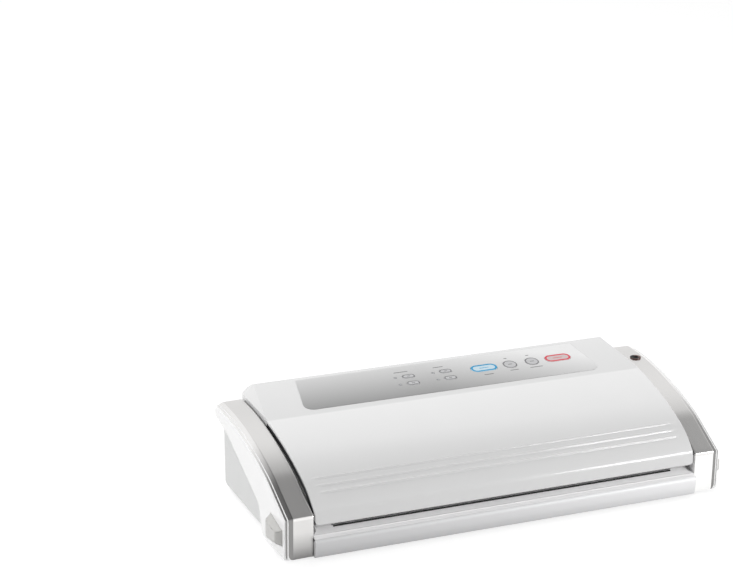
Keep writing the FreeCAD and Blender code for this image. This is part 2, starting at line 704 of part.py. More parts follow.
def vacuum_trough():
    """Lift-out drip tray: its flange lies on the deck."""
    bottom = DECK_HEIGHT - TROUGH_DEPTH
    tray = fuse([box(*trough_box(0.0), bottom, DECK_HEIGHT + TROUGH_RIM),
                 box(*trough_box(TROUGH_FLANGE), DECK_HEIGHT, DECK_HEIGHT + TROUGH_RIM)])
    tray = tray.cut(box(*trough_box(-TROUGH_WALL), bottom + TROUGH_WALL, DECK_HEIGHT + 9))
    rear = trough_box(0.0)[3]
    return tray.cut(Part.makeCylinder(NOZZLE_BORE, 9, vector(PUMP_X, rear - 5, nozzle_height()),
                                      vector(0, 1, 0)))


def nozzle_height():
    return DECK_HEIGHT - TROUGH_DEPTH + TROUGH_WALL + NOZZLE_RADIUS


def gasket(bottom, top):
    """A closed rectangular ring with rounded corners."""
    rings = []
    for inset, radius in ((0.0, 9.0), (GASKET_WIDTH, 4.0)):
        ring = box(-GASKET_HALF + inset, GASKET_HALF - inset, GASKET_FRONT + inset,
                   GASKET_FRONT + GASKET_DEPTH - inset, bottom, top)
        rings.append(ring.makeFillet(radius, [e for e in ring.Edges if e.BoundBox.ZLength > 1]))
    return rings[0].cut(rings[1])


def lower_gasket():
    return gasket(DECK_HEIGHT, DECK_HEIGHT + GASKET_HEIGHT)


def upper_gasket():
    return gasket(DECK_HEIGHT + GASKET_HEIGHT + GASKET_GAP, LINER_HEIGHT)


def seal_middle():
    return SEAL_FRONT + SEAL_DEPTH / 2


def seal_bar():
    half = BAG_WIDTH / 2
    return box(-half, half, SEAL_FRONT, SEAL_FRONT + SEAL_DEPTH, DECK_HEIGHT,
               DECK_HEIGHT + SEAL_BAR_HEIGHT)


def heater_wire():
    low = DECK_HEIGHT + SEAL_BAR_HEIGHT
    half = BAG_WIDTH / 2 - 1
    return box(-half, half, seal_middle() - WIRE_WIDTH / 2, seal_middle() + WIRE_WIDTH / 2,
               low, low + WIRE_THICK)


def sealing_tape():
    low = DECK_HEIGHT + SEAL_BAR_HEIGHT + WIRE_THICK
    half = BAG_WIDTH / 2 - 0.5
    return box(-half, half, seal_middle() - TAPE_WIDTH / 2, seal_middle() + TAPE_WIDTH / 2,
               low, low + TAPE_THICK)


def pressure_strip():
    low = DECK_HEIGHT + SEAL_BAR_HEIGHT + WIRE_THICK + TAPE_THICK + SEAL_GAP
    half = BAG_WIDTH / 2 - 0.5
    return box(-half, half, seal_middle() - TAPE_WIDTH / 2, seal_middle() + TAPE_WIDTH / 2,
               low, LINER_HEIGHT)


def pump_motor():
    end = PUMP_X - PUMP_LENGTH
    body = Part.makeCylinder(PUMP_RADIUS, PUMP_LENGTH, vector(end, PUMP_Y, pump_axis()),
                             vector(1, 0, 0))
    nose = Part.makeCylinder(PUMP_RADIUS / 3, PUMP_NOSE,
                             vector(end - PUMP_NOSE, PUMP_Y, pump_axis()), vector(1, 0, 0))
    return fuse([body, nose])


def pump_axis():
    return CASING_FLOOR + CASING_FLOOR_THICK + PUMP_SADDLE + PUMP_RADIUS


def pump_saddles():
    """Two rubber saddles that carry the pump's motor."""
    saddles = []
    floor = CASING_FLOOR + CASING_FLOOR_THICK
    for share in (0.2, 0.7):
        x = PUMP_X - PUMP_LENGTH * share
        block = box(x - 5, x, PUMP_Y - PUMP_RADIUS, PUMP_Y + PUMP_RADIUS, floor, pump_axis() - 4)
        bed = Part.makeCylinder(PUMP_RADIUS + 0.05, 9, vector(x - 7, PUMP_Y, pump_axis()),
                                vector(1, 0, 0))
        saddles.append(block.cut(bed))
    return Part.makeCompound(saddles)


def pump_head():
    length, width, height = PUMP_HEAD
    floor = CASING_FLOOR + CASING_FLOOR_THICK
    return box(PUMP_X, PUMP_X + length, PUMP_Y - width / 2, PUMP_Y + width / 2,
               floor, floor + height)


def vacuum_hose():
    """From the trough's nozzle to the pump's head."""
    rear = trough_box(0.0)[3]
    x = PUMP_X
    length, width, height = PUMP_HEAD
    end = PUMP_Y - width / 2
    bend = end - 8
    inlet = x + length / 2 - 1
    points = [vector(x, rear, nozzle_height()), vector(x, bend, nozzle_height()),
              vector(inlet, bend, nozzle_height()), vector(inlet, end, nozzle_height())]
    return tube(points, HOSE_RADIUS, HOSE_BORE, HOSE_BEND)


def transformer():
    width, depth, height = TRANSFORMER
    floor = CASING_FLOOR + CASING_FLOOR_THICK
    core = box(TRANSFORMER_X - width / 2, TRANSFORMER_X + width / 2, PUMP_Y - depth / 2,
               PUMP_Y + depth / 2, floor, floor + height)
    width, depth, height = WINDING
    coil = box(TRANSFORMER_X - width / 2, TRANSFORMER_X + width / 2, PUMP_Y - depth / 2,
               PUMP_Y + depth / 2, floor + 6, floor + 6 + height)
    return fuse([core, coil])


def power_board():
    """Board on four pillars, with its relay, capacitors and heat sink."""
    width, depth = POWER_BOARD
    floor = CASING_FLOOR + CASING_FLOOR_THICK
    low = floor + POWER_BOARD_LIFT
    x0, y0 = POWER_BOARD_X - width / 2, PUMP_Y - depth / 2
    top = low + BOARD_THICK
    pieces = [box(x0, x0 + width, y0, y0 + depth, low, top),
              box(x0 + 8, x0 + 24, y0 + 8, y0 + 28, top, top + 15),
              box(x0 + 48, x0 + 51, y0 + 6, y0 + 30, top, top + 24),
              post(5, x0 + 36, y0 + 10, top, top + 18), post(5, x0 + 36, y0 + 24, top, top + 18)]
    for x in (x0 + 4, x0 + width - 4):
        for y in (y0 + 4, y0 + depth - 4):
            pieces.append(post(2.5, x, y, floor, low))
    return fuse(pieces)


def micro_switches():
    """The switches that tell the board that the lid is pressed shut."""
    floor = CASING_FLOOR + CASING_FLOOR_THICK
    width, depth = MICRO_SWITCH
    x1 = SLIDER_INNER - 2 * BUTTON_TRAVEL + FIT
    y0 = SLIDER_FRONT - width
    block = box(x1 - width, x1, y0, y0 + depth, floor, DECK_HEIGHT - DECK_THICK)
    return Part.makeCompound(both_sides(block))


def cord_gland():
    """Gland for the mains cord, through the casing's rear wall."""
    start = CASING_DEPTH - CASING_WALL - GLAND_INSIDE
    along = vector(0, 1, 0)

    def place(y):
        return vector(GLAND_X, y, GLAND_HEIGHT)

    shank = GLAND_INSIDE + CASING_WALL + GLAND_FLANGE / 2
    pieces = [Part.makeCylinder(GLAND_RADIUS - FIT / 2, shank, place(start), along),
              Part.makeCylinder(GLAND_COLLAR, GLAND_FLANGE, place(CASING_DEPTH + 0.05), along),
              Part.makeCone(GLAND_RADIUS, GLAND_NECK, GLAND_REACH - 2,
                            place(CASING_DEPTH + GLAND_FLANGE), along)]
    bore = Part.makeCylinder(GLAND_BORE, FAR, place(start - 1), along)
    return fuse(pieces).cut(bore)


def rubber_feet():
    feet = []
    for x, y in FOOT_PLACES:
        foot = Part.makeCone(FOOT_RADIUS - 1, FOOT_RADIUS, CASING_FLOOR, vector(x, y, 0))
        feet += both_sides(foot)
    return Part.makeCompound(feet)


def case_screws():
    screws = []
    top = CASING_FLOOR + CASING_FLOOR_THICK
    for x, y in SCREW_PLACES:
        for place in sorted({x, -x}):
            head = post(SCREW_HEAD_RADIUS, place, y, CASING_FLOOR + 0.1,
                        CASING_FLOOR + SCREW_HEAD - 0.05)
            shank = post(SCREW_RADIUS, place, y, CASING_FLOOR + 1, top + SCREW_REACH - 0.5)
            screws.append(fuse([head, shank]))
    return Part.makeCompound(screws)


# ---------------------------------------------------------------- lid
def lid_crest(inset=0.0, rear=True):
    """Lip, brow and slope of the lid, the crease and the panel box, run from front to rear."""
    chain = Outline(LID_FRONT, LID_LIP_HEIGHT, LID_LIP_SLOPE, inset)
    chain.line(LID_LIP_RUN).arc(LID_BROW_RADIUS, LID_BROW_SLOPE - LID_LIP_SLOPE).line(LID_BROW_RUN)
    for radius, slope in LID_ARCS:
        chain.arc(radius, slope - chain.heading)
    chain.arc(LID_CREASE_RADIUS, BOX_SLOPE - chain.heading)
    if rear:
        chain.line(BOX_RUN).arc(BOX_REAR_RADIUS, -90 - BOX_SLOPE)
        chain.to(chain.y, LID_REAR_HEIGHT)
    return chain


def lid_block(inset=0.0):
    """The lid's full outline between the arms, filled down to its lower edge."""
    chain = lid_crest(inset)
    low = LID_REAR_HEIGHT if inset == 0.0 else LID_REAR_HEIGHT - 9
    front = chain.edges[0].Vertexes[0].Point
    face = chain.face((chain.y, low), (front.y, front.z if inset == 0.0 else front.z - 9))
    return prism(face, -FAR, FAR).common(
        between_arms(-LID_GAP - inset, LID_FRONT - 1, FAR / 2, -1, FAR))


def panel_place(shape):
    """Move a piece built flat (x across, y up the slope, z out) onto the panel box."""
    crease = lid_crest(rear=False)
    shape.rotate(vector(0, 0, 0), vector(1, 0, 0), BOX_SLOPE)
    shape.translate(crease.point())
    return shape


def facet_cutter():
    """Half space above the bevel at the box's right end."""
    crease = lid_crest(rear=False)
    start = vector(beside(-LID_GAP, crease.y), crease.y, crease.z)
    rise = BOX_RUN * math.sin(math.radians(BOX_SLOPE))
    run = BOX_RUN * math.cos(math.radians(BOX_SLOPE))
    rear = crease.y + run
    end = beside(-LID_GAP, rear)
    top = vector(end - BOX_FACET_INSET, rear, crease.z + rise)
    low = vector(end, rear, crease.z + rise - BOX_FACET_DROP)
    normal = (low - start).cross(top - start)
    normal = normal * (1 if normal.z > 0 else -1)
    block = Part.makeBox(FAR, FAR, FAR, vector(-FAR / 2, -FAR / 2, 0))
    block.Placement = FreeCAD.Placement(start, FreeCAD.Rotation(vector(0, 0, 1), normal)).multiply(
        block.Placement)
    return block.common(box(start.x - 40, FAR, crease.y - 8, FAR, 0, FAR))


def oval(size, grow, z0, z1):
    """A rounded bar: a circle where its two sizes are the same."""
    length, width = size[0] + 2 * grow, size[1] + 2 * grow
    radius = width / 2
    shift = length / 2 - radius
    if shift < 1e-6:
        return Part.makeCylinder(radius, z1 - z0, vector(0, 0, z0))
    bar = box(-shift, shift, -radius, radius, z0, z1)
    ends = [Part.makeCylinder(radius, z1 - z0, vector(x, 0, z0)) for x in (-shift, shift)]
    return fuse([bar, *ends])


def at(shape, x, y):
    shape.translate(vector(x, y, 0))
    return shape


def key_openings(grow, z0, z1):
    return [at(oval(size, grow, z0, z1), x, s) for name, size, x, s in KEYS]


def led_openings(radius, z0, z1):
    return [post(radius, x, s, z0, z1) for x, s in LED_PLACES]


def board_top():
    """Height of the control board's upper face, from the panel box's surface."""
    return KEY_PROUD + PANEL_THICK - KEY_DEPTH - STEM_LENGTH - SWITCH_GAP - SWITCH_HEIGHT


def board_corners():
    margin = POST_RADIUS + 1.4
    return [(x, s) for x in (BOARD_LEFT + margin, BOARD_RIGHT - margin)
            for s in (BOARD_FRONT + margin, BOARD_REAR - margin)]


def lid_height(y):
    """Height of the lid's top at depth y."""
    section = Part.makeLine(vector(0, y, 0), vector(0, y, FAR)).common(lid_block(0.0))
    return section.BoundBox.ZMax


def ribs():
    """Three low ridges across the lid's brow, tapering off at their ends."""
    radius = (RIB_WIDTH ** 2 / 4 + RIB_PROUD ** 2) / (2 * RIB_PROUD)
    ridges = []
    for y, end in RIBS:
        slope = math.atan2(lid_height(y + 1) - lid_height(y - 1), 2)
        sink = radius - RIB_PROUD
        axis_y, axis_z = y + sink * math.sin(slope), lid_height(y) - sink * math.cos(slope)
        half = beside(-LID_GAP, y) - end - RIB_TAPER
        ridge = Part.makeCylinder(radius, 2 * half, vector(-half, axis_y, axis_z), vector(1, 0, 0))
        tip = Part.makeCone(radius, sink / 2, RIB_TAPER, vector(half, axis_y, axis_z),
                            vector(1, 0, 0))
        ridges += [ridge, *both_sides(tip)]
    return ridges


def lid_shell():
    shell = fuse([lid_block(0.0), *ribs()])
    shell = shell.cut(facet_cutter()).cut(mirrored(facet_cutter()))
    room = lid_block(LID_WALL)
    inner_cut = facet_cutter()
    inner_cut.translate(vector(-LID_WALL * 0.6, 0, -LID_WALL * 0.8))
    room = room.cut(inner_cut).cut(mirrored(inner_cut))
    shell = shell.cut(room)
    pieces = [shell]
    for x, y in LID_SCREW_PLACES:
        for place in sorted({x, -x}):
            roof = LINER_HEIGHT if y < LINER_STEP else LINER_ROOF
            boss = post(BOSS_RADIUS, place, y, roof + LINER_THICK + 0.05, FAR)
            pieces.append(boss.common(lid_block(0.5)))
    for x, s in board_corners():
        pieces.append(panel_place(post(POST_RADIUS, x, s, board_top(), -LID_WALL / 2)))
    shell = fuse(pieces)
    low = -LID_WALL - 1
    for cutter in key_openings(KEY_GAP, low, 1) + led_openings(LED_RADIUS + KEY_GAP, low, 1):
        shell = shell.cut(panel_place(cutter))
    for x, y in LID_SCREW_PLACES:
        for place in sorted({x, -x}):
            roof = LINER_HEIGHT if y < LINER_STEP else LINER_ROOF
            shell = shell.cut(post(SCREW_RADIUS + 0.02, place, y, roof,
                                   roof + LID_SCREW_REACH + 0.5))
    half = EAR_THICK + LEAF_WIDTH / 2 + LEAF_SIDE_GAP + HINGE_NOTCH_MARGIN
    for side in (1, -1):
        x = side * HINGE_SPACING
        shell = shell.cut(box(x - half, x + half, HINGE_Y, FAR, -1,
                              HINGE_HEIGHT + HINGE_NOTCH_RISE))
    return shell


def lid_liner():
    """The lid's underside: it carries the gasket and pressure strip and arches over the housing."""
    front = LID_FRONT + LID_WALL + 0.6
    thick = LINER_THICK
    points = [(front, LINER_HEIGHT), (LINER_STEP + thick, LINER_HEIGHT),
              (LINER_STEP + thick, LINER_ROOF), (LINER_REAR, LINER_ROOF),
              (LINER_REAR, LINER_ROOF + thick), (LINER_STEP, LINER_ROOF + thick),
              (LINER_STEP, LINER_HEIGHT + thick), (front, LINER_HEIGHT + thick)]
    liner = polygon(points, -FAR, FAR).common(
        between_arms(-LID_GAP - LID_WALL - LINER_CLEARANCE, 0, FAR / 2, -1, FAR))
    for x, y in LID_SCREW_PLACES:
        for place in sorted({x, -x}):
            roof = LINER_HEIGHT if y < LINER_STEP else LINER_ROOF
            liner = liner.cut(post(SCREW_RADIUS + FIT / 2, place, y, roof - 1, roof + thick + 1))
    return liner


def lid_screws():
    screws = []
    for x, y in LID_SCREW_PLACES:
        for place in sorted({x, -x}):
            roof = LINER_HEIGHT if y < LINER_STEP else LINER_ROOF
            screws.append(fuse([post(SCREW_HEAD_RADIUS, place, y, roof - SCREW_HEAD, roof),
                                post(SCREW_RADIUS, place, y, roof - 0.5, roof + LID_SCREW_REACH)]))
    return Part.makeCompound(screws)


def lid_hook():
    """Hook under the lid that the latch slider catches."""
    low = SLIDER_HIGH + HOOK_GAP
    shaft = box(HOOK_X - HOOK_WIDTH / 2, HOOK_X + HOOK_WIDTH / 2 - HOOK_TOE, SLIDER_FRONT + 0.7,
                SLIDER_FRONT + 0.7 + HOOK_DEPTH, low, LINER_HEIGHT)
    toe = box(HOOK_X - HOOK_WIDTH / 2, HOOK_X + HOOK_WIDTH / 2, SLIDER_FRONT + 0.7,
              SLIDER_FRONT + 0.7 + HOOK_DEPTH, low, low + 2)
    return fuse([shaft, toe])


def control_overlay():
    """The printed sheet over the panel, with openings for the keys and lamps."""
    sheet = Part.Face(Part.makePolygon([vector(PANEL_FRONT_LEFT, PANEL_FRONT, 0),
                                        vector(PANEL_FRONT_RIGHT, PANEL_FRONT, 0),
                                        vector(PANEL_REAR_RIGHT, PANEL_REAR, 0),
                                        vector(PANEL_REAR_LEFT, PANEL_REAR, 0),
                                        vector(PANEL_FRONT_LEFT, PANEL_FRONT, 0)]))
    sheet = sheet.extrude(vector(0, 0, PANEL_THICK))
    front = [e for e in sheet.Edges if e.BoundBox.ZLength > PANEL_THICK / 2
             and e.BoundBox.YMax < PANEL_FRONT + 1]
    sheet = sheet.makeFillet(PANEL_CORNER, front)
    for cutter in key_openings(KEY_GAP, -1, 1) + led_openings(LED_RADIUS + KEY_GAP, -1, 1):
        sheet = sheet.cut(cutter)
    return panel_place(sheet)


def key(size, x, s):
    top = PANEL_THICK + KEY_PROUD
    cap = oval(size, 0.0, top - KEY_DEPTH, top)
    stem = Part.makeCylinder(STEM_RADIUS, STEM_LENGTH + FIT,
                             vector(0, 0, top - KEY_DEPTH - STEM_LENGTH))
    return panel_place(at(fuse([cap, stem]), x, s))


def led_lenses():
    lenses = [post(LED_RADIUS, x, s, board_top(), PANEL_THICK + KEY_PROUD) for x, s in LED_PLACES]
    return panel_place(Part.makeCompound(lenses))


def control_board():
    return panel_place(box(BOARD_LEFT, BOARD_RIGHT, BOARD_FRONT, BOARD_REAR,
                           board_top() - BOARD_THICK, board_top()))


def tact_switches():
    half = SWITCH_SIZE / 2
    low = board_top()
    switches = [box(x - half, x + half, s - half, s + half, low, low + SWITCH_HEIGHT)
                for name, size, x, s in KEYS]
    return panel_place(Part.makeCompound(switches))


# ---------------------------------------------------------------- hinges
def hinge_bracket():
    """Two ears on the rear deck that hold the pin."""
    ears = []
    inner = LEAF_WIDTH / 2 + LEAF_SIDE_GAP
    for x0 in (-inner - EAR_THICK, inner):
        ear = box(x0, x0 + EAR_THICK, HINGE_Y - EAR_RADIUS, HINGE_Y + EAR_RADIUS,
                  REAR_DECK_HEIGHT, HINGE_HEIGHT)
        head = Part.makeCylinder(EAR_RADIUS, EAR_THICK, vector(x0, HINGE_Y, HINGE_HEIGHT),
                                 vector(1, 0, 0))
        ears.append(fuse([ear, head]))
    plate = box(-inner - EAR_THICK, inner + EAR_THICK, HINGE_Y - 2.5 * EAR_RADIUS,
                HINGE_Y + EAR_RADIUS, REAR_DECK_HEIGHT, REAR_DECK_HEIGHT + BRACKET_THICK)
    hole = hinge_rod(PIN_RADIUS + PIN_SEAT, 2 * EAR_THICK)
    return fuse([plate, *ears]).cut(hole)


def hinge_rod(radius, extra):
    """A cylinder on the hinge axis, as long as the bracket and extra longer."""
    length = LEAF_WIDTH + 2 * LEAF_SIDE_GAP + 2 * EAR_THICK + extra
    return Part.makeCylinder(radius, length, vector(-length / 2, HINGE_Y, HINGE_HEIGHT),
                             vector(1, 0, 0))


def hinge_leaf():
    """Knuckle on the pin and the plate that fixes it to the lid's rear wall."""
    half = LEAF_WIDTH / 2
    knuckle = Part.makeCylinder(LEAF_RADIUS, LEAF_WIDTH, vector(-half, HINGE_Y, HINGE_HEIGHT),
                                vector(1, 0, 0))
    rear = lid_crest().y - LID_WALL - 0.1
    plate = box(-half, half, HINGE_Y - 1, rear, HINGE_HEIGHT + 2, HINGE_HEIGHT + LEAF_HEIGHT)
    hole = hinge_rod(PIN_RADIUS + PIN_RUNNING, 0)
    return fuse([knuckle, plate]).cut(hole)


# ---------------------------------------------------------------- accessory port
def port_bushing():
    """Socket for the accessory hose, sunk in the right arm's top."""
    x = ARM_INNER + PORT_OFFSET
    top = arm_height(PORT_Y) + PORT_RIM_PROUD
    pieces = [post(PORT_RIM_RADIUS, x, PORT_Y, top - 0.8, top),
              post(PORT_BODY_RADIUS, x, PORT_Y, top - PORT_LENGTH, top)]
    return fuse(pieces).cut(post(PORT_RADIUS, x, PORT_Y, -1, FAR))


def port_foot():
    """Where the port's axis stands on the base, once its arm is splayed."""
    turn = FreeCAD.Rotation(vector(0, 0, 1), -ARM_SPLAY)
    return turn.multVec(vector(PORT_OFFSET, PORT_Y, 0)) + vector(ARM_INNER, 0, 0)


def port_hose():
    """From the bushing down inside the arm and along the floor to the pump's head."""
    foot = port_foot()
    start = arm_height(PORT_Y) + PORT_RIM_PROUD - PORT_LENGTH - 0.1
    end_x = PUMP_X + PUMP_HEAD[0] / 2
    end_y = PUMP_Y + PUMP_HEAD[1] / 2
    points = [vector(foot.x, foot.y, start), vector(foot.x, foot.y, HOSE_HEIGHT),
              vector(end_x, foot.y, HOSE_HEIGHT), vector(end_x, end_y, HOSE_HEIGHT)]
    return tube(points, HOSE_RADIUS, HOSE_BORE, HOSE_BEND)


# ---------------------------------------------------------------- assembly
def right_arm_cover():
    """The arm's cover with the accessory port's seat and the opening for its hose."""
    seat = post(PORT_BODY_RADIUS + 0.05, ARM_INNER + PORT_OFFSET, PORT_Y, ARM_FRONT_HEIGHT, FAR)
    gap = HOSE_RADIUS + FIT
    opening = box(ARM_INNER - 1, ARM_INNER + 2 * ARM_WALL, PORT_Y - 2 * gap, PORT_Y + 2 * gap,
                  HOSE_HEIGHT - gap, HOSE_HEIGHT + gap)
    return arm_cover().cut(seat).cut(opening)


def right_bezel():
    seat = post(PORT_BODY_RADIUS + 0.05, ARM_INNER + PORT_OFFSET, PORT_Y, ARM_FRONT_HEIGHT, FAR)
    rim = post(PORT_RIM_RADIUS + 0.05, ARM_INNER + PORT_OFFSET, PORT_Y,
               arm_height(PORT_Y) + PORT_RIM_PROUD - 0.8, FAR)
    return bezel().cut(seat).cut(rim)


def moved(shape, x):
    copy = shape.copy()
    copy.translate(vector(x, 0, 0))
    return copy


def build():
    """Every piece by name, with y = 0 at the front of the arms."""
    pieces = {
        "lower_casing": lower_casing(), "base_plate": base_plate(),
        "top_deck": top_deck(), "front_fascia": front_fascia(),
        "arm_cover_right": splay(right_arm_cover()), "arm_cover_left": mirrored(splay(arm_cover())),
        "bezel_right": splay(right_bezel()), "bezel_left": mirrored(splay(bezel())),
        "vacuum_trough": vacuum_trough(), "lower_gasket": lower_gasket(), "seal_bar": seal_bar(),
        "heater_wire": heater_wire(), "sealing_tape": sealing_tape(),
        "pump_motor": pump_motor(), "pump_saddles": pump_saddles(), "pump_head": pump_head(),
        "vacuum_hose": vacuum_hose(), "transformer": transformer(), "power_board": power_board(),
        "micro_switches": micro_switches(), "cord_gland": cord_gland(),
        "rubber_feet": rubber_feet(), "case_screws": case_screws(),
        "port_bushing": splay(port_bushing()), "port_hose": port_hose(),
        "lid_shell": lid_shell(), "lid_liner": lid_liner(), "upper_gasket": upper_gasket(),
        "pressure_strip": pressure_strip(), "lid_screws": lid_screws(),
        "lid_hook_right": lid_hook(), "lid_hook_left": mirrored(lid_hook()),
        "control_overlay": control_overlay(), "led_lenses": led_lenses(),
        "control_board": control_board(), "tact_switches": tact_switches(),
    }
    for name, size, x, s in KEYS:
        pieces[name] = key(size, x, s)
    for side, make in (("right", lambda shape: shape), ("left", mirrored)):
        pieces["release_button_" + side] = make(splay(release_button()))
        pieces["latch_slider_" + side] = make(splay(latch_slider()))
        pieces["button_spring_" + side] = make(splay(button_spring()))
        way = 1 if side == "right" else -1
        pieces["hinge_bracket_" + side] = moved(hinge_bracket(), way * HINGE_SPACING)
        pieces["hinge_pin_" + side] = moved(hinge_rod(PIN_RADIUS, 0), way * HINGE_SPACING)
        pieces["hinge_leaf_" + side] = moved(hinge_leaf(), way * HINGE_SPACING)
    return pieces


def main():
    os.makedirs("parts", exist_ok=True)
    pieces = build()
    whole = Part.makeCompound(list(pieces.values())).BoundBox
    for name, shape in pieces.items():
        shape.translate(vector(0, -(whole.YMin + whole.YMax) / 2, 0))
        shape.exportStep(os.path.join("parts", name + ".step"))


main()
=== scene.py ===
"""Looks of the vacuum packing machine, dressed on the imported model.

The pieces are built in millimetres with x to the right, y = 0 at the front of the arms and z up,
and turned into metres by put().
"""

import json
import math

import bmesh
import bpy
from mathutils import Matrix, Vector

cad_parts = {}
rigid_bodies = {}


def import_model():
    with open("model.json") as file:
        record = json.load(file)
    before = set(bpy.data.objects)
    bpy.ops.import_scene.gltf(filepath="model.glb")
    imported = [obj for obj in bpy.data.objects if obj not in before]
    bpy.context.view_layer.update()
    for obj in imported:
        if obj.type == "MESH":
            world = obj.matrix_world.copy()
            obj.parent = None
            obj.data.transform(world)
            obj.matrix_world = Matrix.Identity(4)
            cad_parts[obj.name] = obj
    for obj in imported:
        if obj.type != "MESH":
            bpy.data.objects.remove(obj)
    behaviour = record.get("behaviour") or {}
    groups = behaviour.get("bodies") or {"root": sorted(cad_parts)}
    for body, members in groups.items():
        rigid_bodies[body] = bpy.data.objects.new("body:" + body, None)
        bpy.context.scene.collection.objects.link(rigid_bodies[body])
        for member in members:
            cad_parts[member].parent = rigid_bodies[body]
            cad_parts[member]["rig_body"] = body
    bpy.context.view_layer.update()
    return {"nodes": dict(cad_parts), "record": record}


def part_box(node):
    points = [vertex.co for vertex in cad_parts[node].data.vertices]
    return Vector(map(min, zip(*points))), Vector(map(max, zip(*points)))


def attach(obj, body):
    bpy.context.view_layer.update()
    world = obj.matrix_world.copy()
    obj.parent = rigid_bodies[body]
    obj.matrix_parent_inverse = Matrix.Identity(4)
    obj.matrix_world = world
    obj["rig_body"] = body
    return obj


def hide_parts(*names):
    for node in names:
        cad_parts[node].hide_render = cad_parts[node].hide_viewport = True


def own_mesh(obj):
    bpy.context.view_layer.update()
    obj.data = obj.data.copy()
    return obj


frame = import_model()
scene = bpy.context.scene

# ------------------------ sizes, as in the solids
ARM_INNER = 169.3               # half the distance between the arms, at the front
SPLAY = math.radians(1.97)      # how far each arm turns outward
ARM_SILL = 3.0                  # height of the arms' lower edge
ARM_LEAN = 91.3                 # slope of an arm's front, in degrees
ARM_NOSE_TOP = 38.7             # height of the corner over an arm's front
ARM_NOSE_RADIUS = 1.5
ARM_RAMP = 24.9                 # slope behind that corner
ARM_RAMP_RUN = 38.6
ARM_ARCS = ((100.0, -6.7, 1.0), (333.0, -20.7, 0.8))     # radius, turn and step behind the ramp
ARM_HEEL_RADIUS = 6.0
BAND_BEND = (139.7, 58.3)       # where the arm's lower line starts to bend down
BAND_REAR_SLOPE = 12.0
BAND_CORNER_RADIUS = 2.0
BAND_ARC = (80.0, 10.5)         # radius and turn behind that bend
BAND_RUN = 65.2                 # straight run down to the pad
PAD_ARC = (10.0, 54.5)          # radius and turn into the pad's rear edge
PAD_LEAN = 77.0                 # slope of the pad's rear edge, in degrees
PAD_RADIUS = 6.0
STRIP = 17.0                    # flat top of the metal bezel
CHAMFER = 5.7                   # its sloping outer edge
CHAMFER_DROP = 2.8
FACE_ROWS = 8                   # rows of a bezel that make its front face
FACE_RECESS = 0.22              # how far that face sits back from its edges
CURL = (4.2, 0.9)               # height and depth of the face's curl at its foot
BAND_PROUD = 1.0                # how far the arm's side stands out past the bezel
BUTTON = ((7.1, 13.1), (7.1, 26.9), (34.4, 31.7), (34.4, 8.1))      # opening for the button
PORT = (ARM_INNER + 9.6, 135.0)         # place of the hose port in the right arm
PORT_RADIUS = 4.1
PORT_BORE_RADIUS = 2.65
LID_GAP = 1.2
LID_EASE = 0.4                  # taken off each end of the lid beyond that gap
LID_FRONT = 0.4
LIP_HEIGHT = 29.1
LIP_SLOPE = 86.9                # slope of the lid's upright lip, in degrees
LIP_RISE = 8.6
LIP_BEND = (7.0, -45.9)         # radius and turn over the lip
LIP_BACK = 6.6                  # straight run behind that bend
LID_ARCS = ((65.0, -18.5, 0.3), (240.0, -0.75, 0.08), (240.0, -5.75, 0.6),
            (314.0, -10.3, 0.6), (12.0, 3.4, 0.6))      # from there to the crease
LIP_CORNER = 3.5                # rounding of the lip's lower corners
REAR_LOW = 58.0
RIBS = ((25.7, 4.4), (18.9, 5.7), (13.5, 6.3))          # depth, and distance from the lid's ends
RIB_PROUD = 0.95
RIB_HALF = 1.6
RIB_FADE = 9.0
BOX_RUN = 58.5                  # slope length of the panel box
BOX_SLOPE = math.radians(9.1)
BOX_BEND = (4.0, -99.1)         # radius and turn down behind the box
PANEL_START = 8.0               # from the crease to the opening under the panel
PANEL_RUN = 45.0                # length of that opening up the slope
PANEL_SIDES = (-60, 126)        # its left and right edge
FACET_INSET = 9.5
FACET_DROP = 8.4
HINGE_X = 121.0
HINGE_HALF = 11.0
HINGE_TOP = 73.0
SKIN = 2.2
SHELF_FRONT = (-2.5, 19.1)      # front edge of the bag slot's shelf
SHELF_SLOPE = math.radians(22.0)
SLOT_HALF = 150.5
SLOT_SHADE_STRIP = (10.4, 12.3)       # the painted-shade strip for the dark slot, up the shelf from its front edge
LATCH_SLOT = ((26.1, 10.6), (33.9, 10.6), (33.9, 15.9), (26.1, 15.9))
WALL_FRONT, WALL_REAR = 5.0, 166.0      # depth of an arm's inner wall
WALL_LOW, WALL_TOP = 5.0, 38.0          # height of its front edge
WALL_STEP = (150.5, 10.6)       # step in its lower rear corner
GAP_SHADE = (1.1, 4.5)               # depths of the dark strip under an arm's crest, painted shade of the gap beside the lid
LID_GAP_SHADE = (2.8, 7.0)                # depths of the dark strips under the lid's surface, painted shade of the gap beside the arms
EDGE_ANGLE = 32.0               # an edge that turns more stays sharp, in degrees
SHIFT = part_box("lid_shell")[0].y * 1000 - LID_FRONT     # where y = 0 lies in the frame
SIDES = ((1, "right"), (-1, "left"))


def put(x, y, z):
    """A place in millimetres, turned into the frame's metres."""
    return Vector((x, y + SHIFT, z)) / 1000


